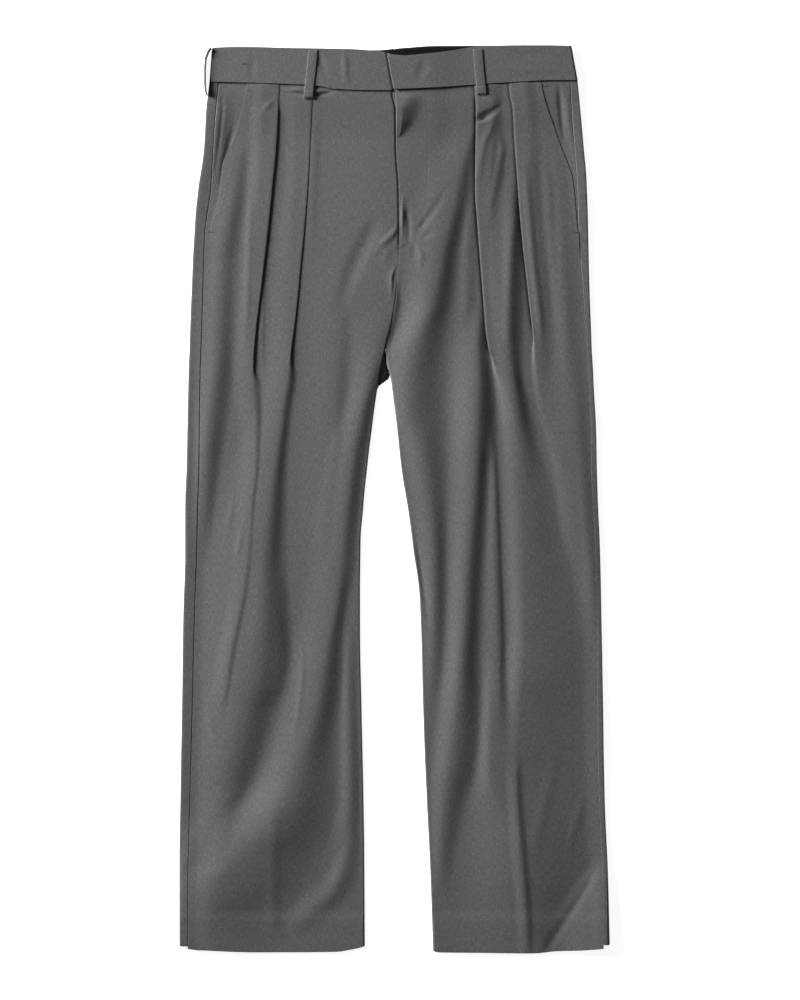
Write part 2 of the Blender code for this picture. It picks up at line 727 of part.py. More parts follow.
def add_mesh(name, corners, faces, finish):
    """A closed mesh object with its faces turned out."""
    mesh = bpy.data.meshes.new(name)
    mesh.from_pydata([tuple(corner) for corner in corners * MM], [], faces)
    shape = bmesh.new()
    shape.from_mesh(mesh)
    bmesh.ops.recalc_face_normals(shape, faces=shape.faces)
    bmesh.ops.triangulate(shape, faces=shape.faces)
    shape.to_mesh(mesh)
    shape.free()
    mesh.materials.append(finish)
    mesh.shade_smooth()
    mesh.set_sharp_from_angle(angle=math.radians(SHARP_DEGREES))
    made = bpy.data.objects.new(name, mesh)
    bpy.context.scene.collection.objects.link(made)
    return made


def normals(grid):
    across = np.gradient(grid, axis=1)
    along = np.gradient(grid, axis=0)
    found = np.cross(across, along)
    return found / np.linalg.norm(found, axis=2, keepdims=True)


def wall(name, rows, thickness, finish):
    """Cloth of even thickness along the middle surface that the rows give."""
    grid = np.array(rows)
    count, width = grid.shape[:2]
    offset = normals(grid) * thickness / 2
    corners = np.concatenate([(grid + offset).reshape(-1, 3), (grid - offset).reshape(-1, 3)])
    index = np.arange(count * width).reshape(count, width)
    other = index + count * width
    faces = []
    for face in (index, other):
        for row in range(count - 1):
            for column in range(width - 1):
                faces.append((face[row, column], face[row, column + 1],
                              face[row + 1, column + 1], face[row + 1, column]))
    rim = np.concatenate([index[0, :-1], index[:-1, -1], index[-1, :0:-1], index[:0:-1, 0]])
    rim_other = rim + count * width
    for here in range(len(rim)):
        after = (here + 1) % len(rim)
        faces.append((rim[here], rim[after], rim_other[after], rim_other[here]))
    return add_mesh(name, corners, [tuple(map(int, face)) for face in faces], finish)


def flat_strap(name, places, width, finish):
    """A belt loop lying along the front or back: places are x, down, height of its middle line."""
    rows = [[(x - width / 2, -down, height), (x + width / 2, -down, height)] for x, down, height in places]
    return wall(name, rows, LOOP_CLOTH, finish)


def standing_strap(name, places, height, width, finish):
    """A belt loop standing on its edge beside the waistband: places are x, down of its middle line."""
    rows = [[(x, -down, height - width / 2), (x, -down, height + width / 2)] for x, down in places]
    return wall(name, rows, LOOP_CLOTH, finish)


def centre(things):
    """Moves everything so that the middle of its box is over the origin, and its underside at 0."""
    points = np.array([corner.co for thing in things for corner in thing.data.vertices])
    low, high = points.min(axis=0), points.max(axis=0)
    shift = (-(low[0] + high[0]) / 2, -(low[1] + high[1]) / 2, -low[2])
    for thing in things:
        for corner in thing.data.vertices:
            corner.co = [place + moved for place, moved in zip(corner.co, shift)]


def build():
    clear_scene()
    cloth = material("worsted wool", CLOTH_GREY)
    lining = material("lining", LINING_GREY)
    things = []
    facing_rows = [row for row in ROWS if row <= POCKET_LIFT_DOWN[0]]
    right, left = Leg(RIGHT), Leg(LEFT)
    for name, leg in (("right", right), ("left", left)):
        front = [front_row(leg, row) for row in ROWS]
        back = [back_row(leg, row) for row in ROWS]
        pocket_facing = [facing_row(leg, row) for row in facing_rows]
        band = [band_row(leg, share) for share in np.linspace(0, 1, BAND_ROWS)]
        things.append(wall(f"front_{name}", front, CLOTH, cloth))
        things.append(wall(f"back_{name}", back, CLOTH, cloth))
        things.append(wall(f"pocket_facing_{name}", pocket_facing, CLOTH, cloth))
        things.append(wall(f"waistband_{name}", band, BAND_CLOTH, cloth))
    below_top = np.linspace(*BAND_FACING_DOWN, BAND_FACING_ROWS)
    facing = [band_facing_row(right, left, below) for below in below_top]
    things.append(wall("waistband_facing", facing, CLOTH, lining))
    for name, places in FRONT_LOOPS.items():
        things.append(flat_strap(name, places, LOOP_WIDTH, cloth))
    name = "belt_loop_side_right"
    things.append(standing_strap(name, SIDE_LOOP, SIDE_LOOP_HEIGHT, STANDING_LOOP_WIDTH, cloth))
    for name, x in HIDDEN_LOOPS.items():
        places = [(x, down, LOOP_CLOTH / 2) for down in HIDDEN_LOOP_ENDS]
        things.append(flat_strap(name, places, LOOP_WIDTH, cloth))
    centre(things)


build()
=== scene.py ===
"""The looks of the pleated dress trousers, laid flat on the floor with the front up.

Each panel is a thin shell of cloth on the form of its solid, worked out row by row from tables of its edges,
pleats and folds, with finer creases laid on top.  Sewing is laid on the shells, and the cloth is a worsted
wool whose weave follows each panel's own threads.

Sizes are in millimetres.  "down" is measured from the top of the waistband, "out" from the middle of the
garment towards the side of the leg that the table belongs to, and heights from the floor.  Right and left
are the wearer's: the right leg lies at -X, the waist at +Y.
"""
import math

import bmesh
import bpy
import numpy as np
from mathutils import Euler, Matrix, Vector
from mathutils.bvhtree import BVHTree


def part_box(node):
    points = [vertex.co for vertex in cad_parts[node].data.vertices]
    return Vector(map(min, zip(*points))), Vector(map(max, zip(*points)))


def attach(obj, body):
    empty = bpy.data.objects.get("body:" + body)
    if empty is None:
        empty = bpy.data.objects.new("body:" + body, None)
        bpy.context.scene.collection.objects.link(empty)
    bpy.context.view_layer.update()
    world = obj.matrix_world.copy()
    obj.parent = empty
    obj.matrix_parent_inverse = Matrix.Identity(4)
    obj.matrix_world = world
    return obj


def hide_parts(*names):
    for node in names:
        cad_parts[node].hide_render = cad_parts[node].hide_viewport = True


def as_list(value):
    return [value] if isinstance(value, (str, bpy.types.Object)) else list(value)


MM = 0.001
# the least length that is divided by
TINY = 1e-9

# Cloth
CLOTH = 0.5
BAND_CLOTH = 1.5
LOOP_CLOTH = 0.5
STANDING_LOOP_CLOTH = 1.8
SOLID_CLOTH = 1.0
GAP = 0.3
SEAM_GAP = 0.04
RIM = 0.94
ROUNDING = 0.4
BAND_ROUNDING = 0.5

# Heights of the middle surfaces
BACK_Z = SOLID_CLOTH / 2
VALLEY_Z = 2.4
EDGE_Z = 4.0
WAIST_Z = 4.6
BACK_WAIST_RISE = 1.9
BAND_Z = 6.2
BACK_BAND_Z = 2.4
FACING_Z = 4.2

# Distances from an edge of the points beside it, and from where on they are evenly spread
EDGE_STEPS = (0, 0.3, 0.8, 1.5)
PAST_EDGE = 2 * EDGE_STEPS[-1]

# Rows down the leg as stretches, each its last row and how many rows it has, and the columns of each
# stretch of a row
WAIST_ROW = 45
HEM_ROW = 1038
POCKET_BOTTOM = 213
FACING_BOTTOM = 226
FRONT_ROWS = ((110, 50), (270, 68), (HEM_ROW, 148))
BACK_ROWS = ((HEM_ROW, 240),)
FACING_ROWS = ((FACING_BOTTOM, 60),)
SIDE_COLUMNS = 24
COVER_COLUMNS = 5
PLEAT_ARC_POINTS = 6
UNDER_COLUMNS = 5
BETWEEN_COLUMNS = 14
FLY_COLUMNS = 28
FLY_EDGE_COLUMNS = 16
UNDERLAP_COLUMNS = 5
END_COLUMNS = 6
BACK_COLUMNS = 24
ROLL_POINTS = 12
STRIP_COLUMNS = 8
FACING_COLUMNS = 40
BAND_ROWS = 26
BAND_FRONT_COLUMNS = 240
BAND_BACK_COLUMNS = 40
BAND_FACING_ROWS = 8
BAND_FACING_COLUMNS = 40
TURN_POINTS = 7

# A pleat's Z.  Each bend takes at most this share of the widest radius that fits, and where the crest laps
# over the lower bend, the pleat is at least this many radii high.
PLEAT_BEND = 0.45
PLEAT_LEAST_HEIGHT = 0.02
PLEAT_WIDEST_SHARE = 0.98
PLEAT_RADII = 4.2
PLEAT_COVER = 1.3
PLEAT_LEAST_COVER = 3

# Layers over each other
POCKET_UNDER = 12
FLY_LIFT = 0.7
# How far before and past the fly's edge the crowded columns reach, and the least width they keep
FLY_EDGE_REACH = (7, 4)
FLY_EDGE_LEAST = 1
BAND_UNDERLAP = 34
BAND_OVERLAP_LIFT = 1.6
HEM_DEPTH = 38
HEM_LIFT = 0.8
HEM_BEND = 0.32
SIDE_BEND = 0.5
LOOP_BEND = 0.3
LOOP_INWARD = -1
# down, how far the right front reaches under the left one
UNDERLAP = ((40, 34), (180, 34), (205, 26), (222, 13), (231, 3), (235, 0))

# Where a height or a bend fades out: the place where that starts, and how far it goes on
WAIST_HOLD = (58, 52)
WAIST_CURVE = (WAIST_ROW, 60)
HEM_CURVE = (0, 45)
EDGE_ROUND = (0, 25)
CURL_OPEN = (325, 35)
POCKET_LIFT_ACROSS = (14, 24)
POCKET_LIFT_DOWN = (FACING_BOTTOM, 24)
FLY_LIFT_ACROSS = (40, 28)
FLY_LIFT_DOWN = (240, 45)
BAND_OVERLAP_ACROSS = (BAND_UNDERLAP, 56)
HEM_LIFT_UP = (HEM_DEPTH - 2, 6)
SEAM_TUCK_DOWN = (0, 2.5)
SEAM_TUCK = 0.6
WAIST_RISE = 0.5
WAIST_RISE_DOWN = (6, 30)

# Cloth that an edge lies on dips beside it
DIP_WIDTH = 2.6
DIP_ASIDE = 0.6
DIP_START = 1
DIP_STEPS = (0, 0.5, 1, 1.5, 2, 2.5, 3.2, 4)
FLY_DIP = 0.85
FLY_DIP_WIDTH = 2.6
FLY_DIP_DOWN = (225, 20)
UNDERLAP_DROP = 1.2
UNDERLAP_DROP_ACROSS = 4
BAND_DIP = 0.9
PLEAT_DIP_OPENS = 4

RIGHT = {
    "side": -1,
    # down, outer edge, side seam, fly or inner edge
    "outline": (
        (40, 212, 200.5, 0), (54, 213.3, 202, 1), (72, 216, 204, -2.5), (118, 219, 207.5, -3),
        (164, 225.5, 210, -6), (216, 230, 217, -6.5), (279, 233, 219, -2), (331, 235, 220.5, 6.5),
        (348, 235.5, 221, 9.8), (371, 236.5, 222, 15), (383, 236.8, 222.2, 17.5), (391, 237, 222.5, 18.8),
        (440, 238, 223, 25.5), (486, 239, 223.5, 31), (532, 240.5, 225, 35.5), (578, 240.5, 226, 38.5),
        (647, 242.5, 228.5, 39), (751, 244, 231, 37.5), (866, 246, 234, 35), (946, 247, 236, 34),
        (1038, 247, 237, 33.5),
    ),
    # down, how far the back reaches past the front's inner edge
    "seat": ((348, 0), (360, 4), (371, 8.3), (378, 11.6), (382, 11), (386, 6), (391, 0)),
    # out, down
    "waist seam": ((-34, 46.8), (0, 48.8), (4, 50.6), (64.5, 49.4), (85, 46), (104.5, 44.3), (212.5, 40.8)),
    "hem": (
        (33.5, 1033.3), (50.5, 1037.3), (73.5, 1039.8), (131, 1040.2), (216, 1038.1), (239, 1035.6),
        (247, 1033.3),
    ),
    "band top": ((-34, 12), (0, 9.6), (10, 7.2), (23, 5.2), (62, 3), (119.5, 2), (177, 0.8), (210.5, 1.7)),
    "back band top": ((0, 2.4), (4.5, 2.9), (23, 4), (62, 3), (119.5, 2), (177, 0.8), (210.5, 1.7)),
    # down, out
    "pocket mouth": (
        (40, 167), (49, 169), (84, 177), (114, 187.5), (137, 197), (167, 200.5), (190, 206), (213, 212),
    ),
    # out at the band's top and at its seam
    "band edge": (209, 212),
    "band end": (-34, -34),
    # how far the front lies above the pocket facing
    "pocket lift": 0.8,
    # how deep the cloth dips beside a pleat's crest, as a share of the pleat's height
    "pleat dip": 0,
    # down, share of its solid's height that the pleat has where it is pressed
    "pleats lie": {
        "outer": ((43, 0.13), (62, 0.13), (80, 0.45), (140, 0.6), (300, 0.6), (366, 1)),
        "inner": ((43, 0.13), (110, 0.15), (180, 0.27), (300, 0.4), (366, 1)),
    },
    # down, foot towards the side, crest, foot towards the fly, height
    "pleats": {
        "outer": (
            (43, 165, 131, 147, 3), (118, 170, 135.5, 150.5, 3), (160, 175, 139.5, 153.5, 3),
            (200, 180, 143.5, 156, 3), (256, 188, 150, 159, 3), (298, 190, 155, 162, 3),
            (337, 190, 159.5, 163, 2.6), (366, 189, 161.5, 161.5, 1.9), (389, 186, 162, 151, 1.4),
            (417, 184, 160, 150, 1.6), (445, 181, 159.5, 151.5, 1.2), (480, 181, 159.5, 153.5, 0.8),
            (521, 184, 164, 158, 0.7), (580, 188, 168, 162, 0.5), (620, 192, 173, 166, 0.7),
            (660, 198, 180.5, 173, 0.9), (700, 206, 189, 181, 1), (740, 214, 195, 187, 0.7),
            (790, 226, 206, 198, 0), (840, 234, 223, 216, 0), (1038, 236, 225, 218, 0),
        ),
        "inner": (
            (43, 126, 93, 109, 3), (118, 126, 96.5, 111.5, 3), (193, 134, 101.5, 113.5, 3),
            (256, 143, 107.5, 116, 3), (298, 148, 111.5, 117, 3), (348, 152, 118, 118.5, 2.6),
            (380, 156, 122, 111, 2.3), (406, 160, 127, 114, 2.3), (440, 172, 132, 118, 2.5),
            (480, 192, 138, 121, 3.1), (521, 206, 143.5, 122, 3.7), (560, 220, 148, 122, 4.2),
            (600, 234, 153, 121, 4.7), (640, 240, 158, 118.5, 5.3), (680, 240, 163.5, 116, 5.9),
            (720, 240, 169, 118, 6), (760, 240, 175, 127, 5.3), (800, 240, 184, 137, 4.7),
            (840, 240, 192, 153, 3.6), (880, 240, 200, 170, 2), (915, 240, 204, 182, 0.7),
            (950, 240, 206, 188, 0), (1038, 240, 206, 188, 0),
        ),
    },
    "folds": {
        "pocket": (
            (110, 206, 180, 166, 0), (140, 212, 182, 166, 0.6), (160, 216, 184.5, 166, 1.1),
            (200, 222, 191, 168, 1.9), (240, 227, 198, 172, 2.3), (290, 230, 201.5, 176, 2.7),
            (340, 232, 204, 179, 2.9), (380, 232, 207, 183, 3.2), (440, 233, 213.5, 190, 3.2),
            (480, 233, 216, 197, 2.4), (520, 234, 218, 203, 1.6), (560, 234, 219.5, 208, 0.7),
            (595, 234, 221, 212, 0),
        ),
        "thigh": (
            (250, 105, 62, 50, 0), (300, 105, 64, 49, 0.6), (340, 105, 65, 47, 0.9),
            (400, 108, 68.5, 50, 1.1), (440, 108, 69, 55, 1), (480, 110, 75, 60, 0.9),
            (520, 112, 80, 65, 0.8), (560, 112, 85, 69, 0.6), (600, 114, 90, 74, 0),
        ),
        "pleat edge": (
            (590, 165, 134, 119, 0), (650, 172, 135, 118, 1.4), (700, 176, 132, 116.5, 1.8),
            (725, 176, 135, 119.5, 1.5), (760, 180, 143, 128, 0),
        ),
        "inner leg": (
            (300, 60, 14, -12, 0), (343, 58, 20, -2, 1.6), (383, 56, 29, 12, 2.3), (417, 62, 37, 21, 2.6),
            (440, 72, 42, 25, 2.8), (480, 84, 49.5, 31, 2.9), (520, 92, 54.5, 36, 2.9),
            (560, 98, 59, 40, 2.7), (600, 104, 63, 43, 2.6), (640, 110, 67.5, 52, 2.6),
            (680, 120, 75.5, 56, 3.2), (720, 130, 82.5, 57, 4), (760, 140, 90, 61, 4.3),
            (800, 150, 102, 64, 4.8), (830, 160, 112, 61, 5.5), (860, 176, 123, 58, 6.3),
            (880, 196, 134, 57, 6.8), (900, 214, 147, 59, 6.8), (920, 230, 164, 65, 6.2),
            (940, 240, 184, 74, 5.4), (960, 250, 200, 84, 4.6), (985, 252, 206, 100, 3),
            (1015, 252, 206, 116, 1.6), (1043, 252, 206, 120, 1.2),
        ),
        "hem streak": (
            (660, 58, 50, 40, 0), (700, 60, 52, 41, 0.6), (760, 62, 53, 40, 1.1), (845, 64, 51, 38, 1.5),
            (900, 72, 54, 38, 1.6), (940, 84, 60, 38, 1.8), (960, 96, 68, 42, 2), (980, 110, 82, 54, 1.8),
            (1000, 124, 100, 72, 1), (1020, 134, 114, 88, 0),
        ),
        # soft on one side and sharp on the other
        "pressed crease": (
            (868, 152, 137, 130, 0), (905, 152, 137, 130, 0.45), (1000, 152, 137, 130, 0.5),
            (1030, 152, 137, 130, 0),
        ),
        # a broad swell beside the fly
        "belly": (
            (58, 90, 4, -70, 0), (110, 92, 2, -70, 1.1), (250, 98, 2, -70, 1.3), (300, 100, 10, -60, 0.8),
            (345, 100, 20, -50, 0),
        ),
        "side of the shin": (
            (850, 235, 190, 150, 0), (880, 245, 195, 155, 1.3), (920, 262, 225, 160, 2.6),
            (960, 262, 240, 165, 3), (985, 262, 240, 150, 2), (1010, 262, 240, 150, 0),
        ),
        "front of the shin": (
            (845, 235, 135, 60, 0), (880, 245, 140, 66, 0.9), (925, 262, 158, 78, 1.5),
            (960, 262, 168, 84, 2.5), (1000, 262, 205, 88, 2), (1025, 262, 210, 95, 0.8),
            (1040, 262, 210, 95, 0),
        ),
    },
    # finer creases, each a path of out, down, half width, height
    "creases": (
        ((164, 160, 5, 0), (166, 200, 6, 0.4), (167, 240, 6, 0.4), (169, 300, 5, 0.4), (172, 350, 4, 0)),
        ((150, 250, 3, 0), (151.5, 300, 4, 0.6), (152.5, 340, 4, 0.7), (151, 385, 3, 0)),
        ((90, 60, 8, 0), (92, 118, 9, 0.5), (95, 180, 9, 0.5), (97, 240, 8, 0)),
        ((104.7, 680, 4, 0), (105.8, 728, 4, 0.6), (109.3, 762, 4, 0.6), (116, 797, 4, 0)),
        ((184, 512, 4, 0), (188, 540, 4, 0.5), (193, 560, 4, 0)),
        ((173.7, 545, 4, 0), (178, 572, 4, 0.5), (182, 595, 4, 0)),
        ((217, 755, 5, 0), (210, 780, 5, 0.6), (203, 803, 5, 0)),
        # below the waistband, beside the loop
        ((130, 53, 2.5, 0), (110, 54.5, 3, -1), (91, 56.5, 3, -1.3), (78, 54.5, 3, -1.2), (66, 50, 2.5, 0)),
        ((126, 50, 2.5, 0), (108, 50, 3, 0.8), (88, 51.5, 3, 1), (74, 51, 2.5, 0)),
        ((150, 76, 3, 0), (145, 68, 5, 0.9), (138, 61, 3, 0)),
        # from the crotch down the inner thigh
        ((-5, 206, 4, 0), (2, 216, 5, 1.4), (11, 224, 5, 1.2), (21, 239, 4, 0)),
        ((18, 196, 10, 0), (27, 214, 13, -1), (42, 245, 14, -1.2), (57, 281, 12, -0.6), (66, 318, 9, 0)),
        ((4, 226, 3, 0), (9, 238, 3.5, 0.9), (12, 262, 3, 0)),
        ((-2, 250, 3, 0), (3, 264, 3.5, 1), (3, 290, 3, 0)),
        ((-7, 266, 4, 0), (-8, 285, 8, -1.1), (-7, 308, 11, -1.6), (-1, 325, 9, -1.3), (5, 342, 7, -0.7)),
        # across the inner thigh's streak above the hem
        ((56, 890, 7, 0), (60, 920, 9, -0.7), (69, 940, 11, -1), (79, 962, 14, -1.1), (92, 985, 12, 0)),
    ),
    "facing creases": (
        ((200, 46, 20, 0), (201, 80, 20, 1.6), (205, 130, 17, 1.4), (210, 190, 12, 0)),
        ((183, 88, 5, 0), (189, 110, 6, -0.8), (195, 140, 6, -0.8), (200, 165, 5, 0)),
        ((197, 48, 3, 0), (197, 75, 4, -0.5), (201, 112, 3.5, -0.5), (206, 150, 3, 0)),
    ),
    "band creases": (
        ((85, 8, 4, 0), (84, 20, 7, -0.7), (74, 36, 5, 0)),
        ((57, 4, 5, 0), (56, 22, 6, 0.6), (54, 46, 5, 0)),
        ((160, 6, 5, 0), (163, 24, 8, -0.4), (162, 44, 5, 0)),
    ),
}

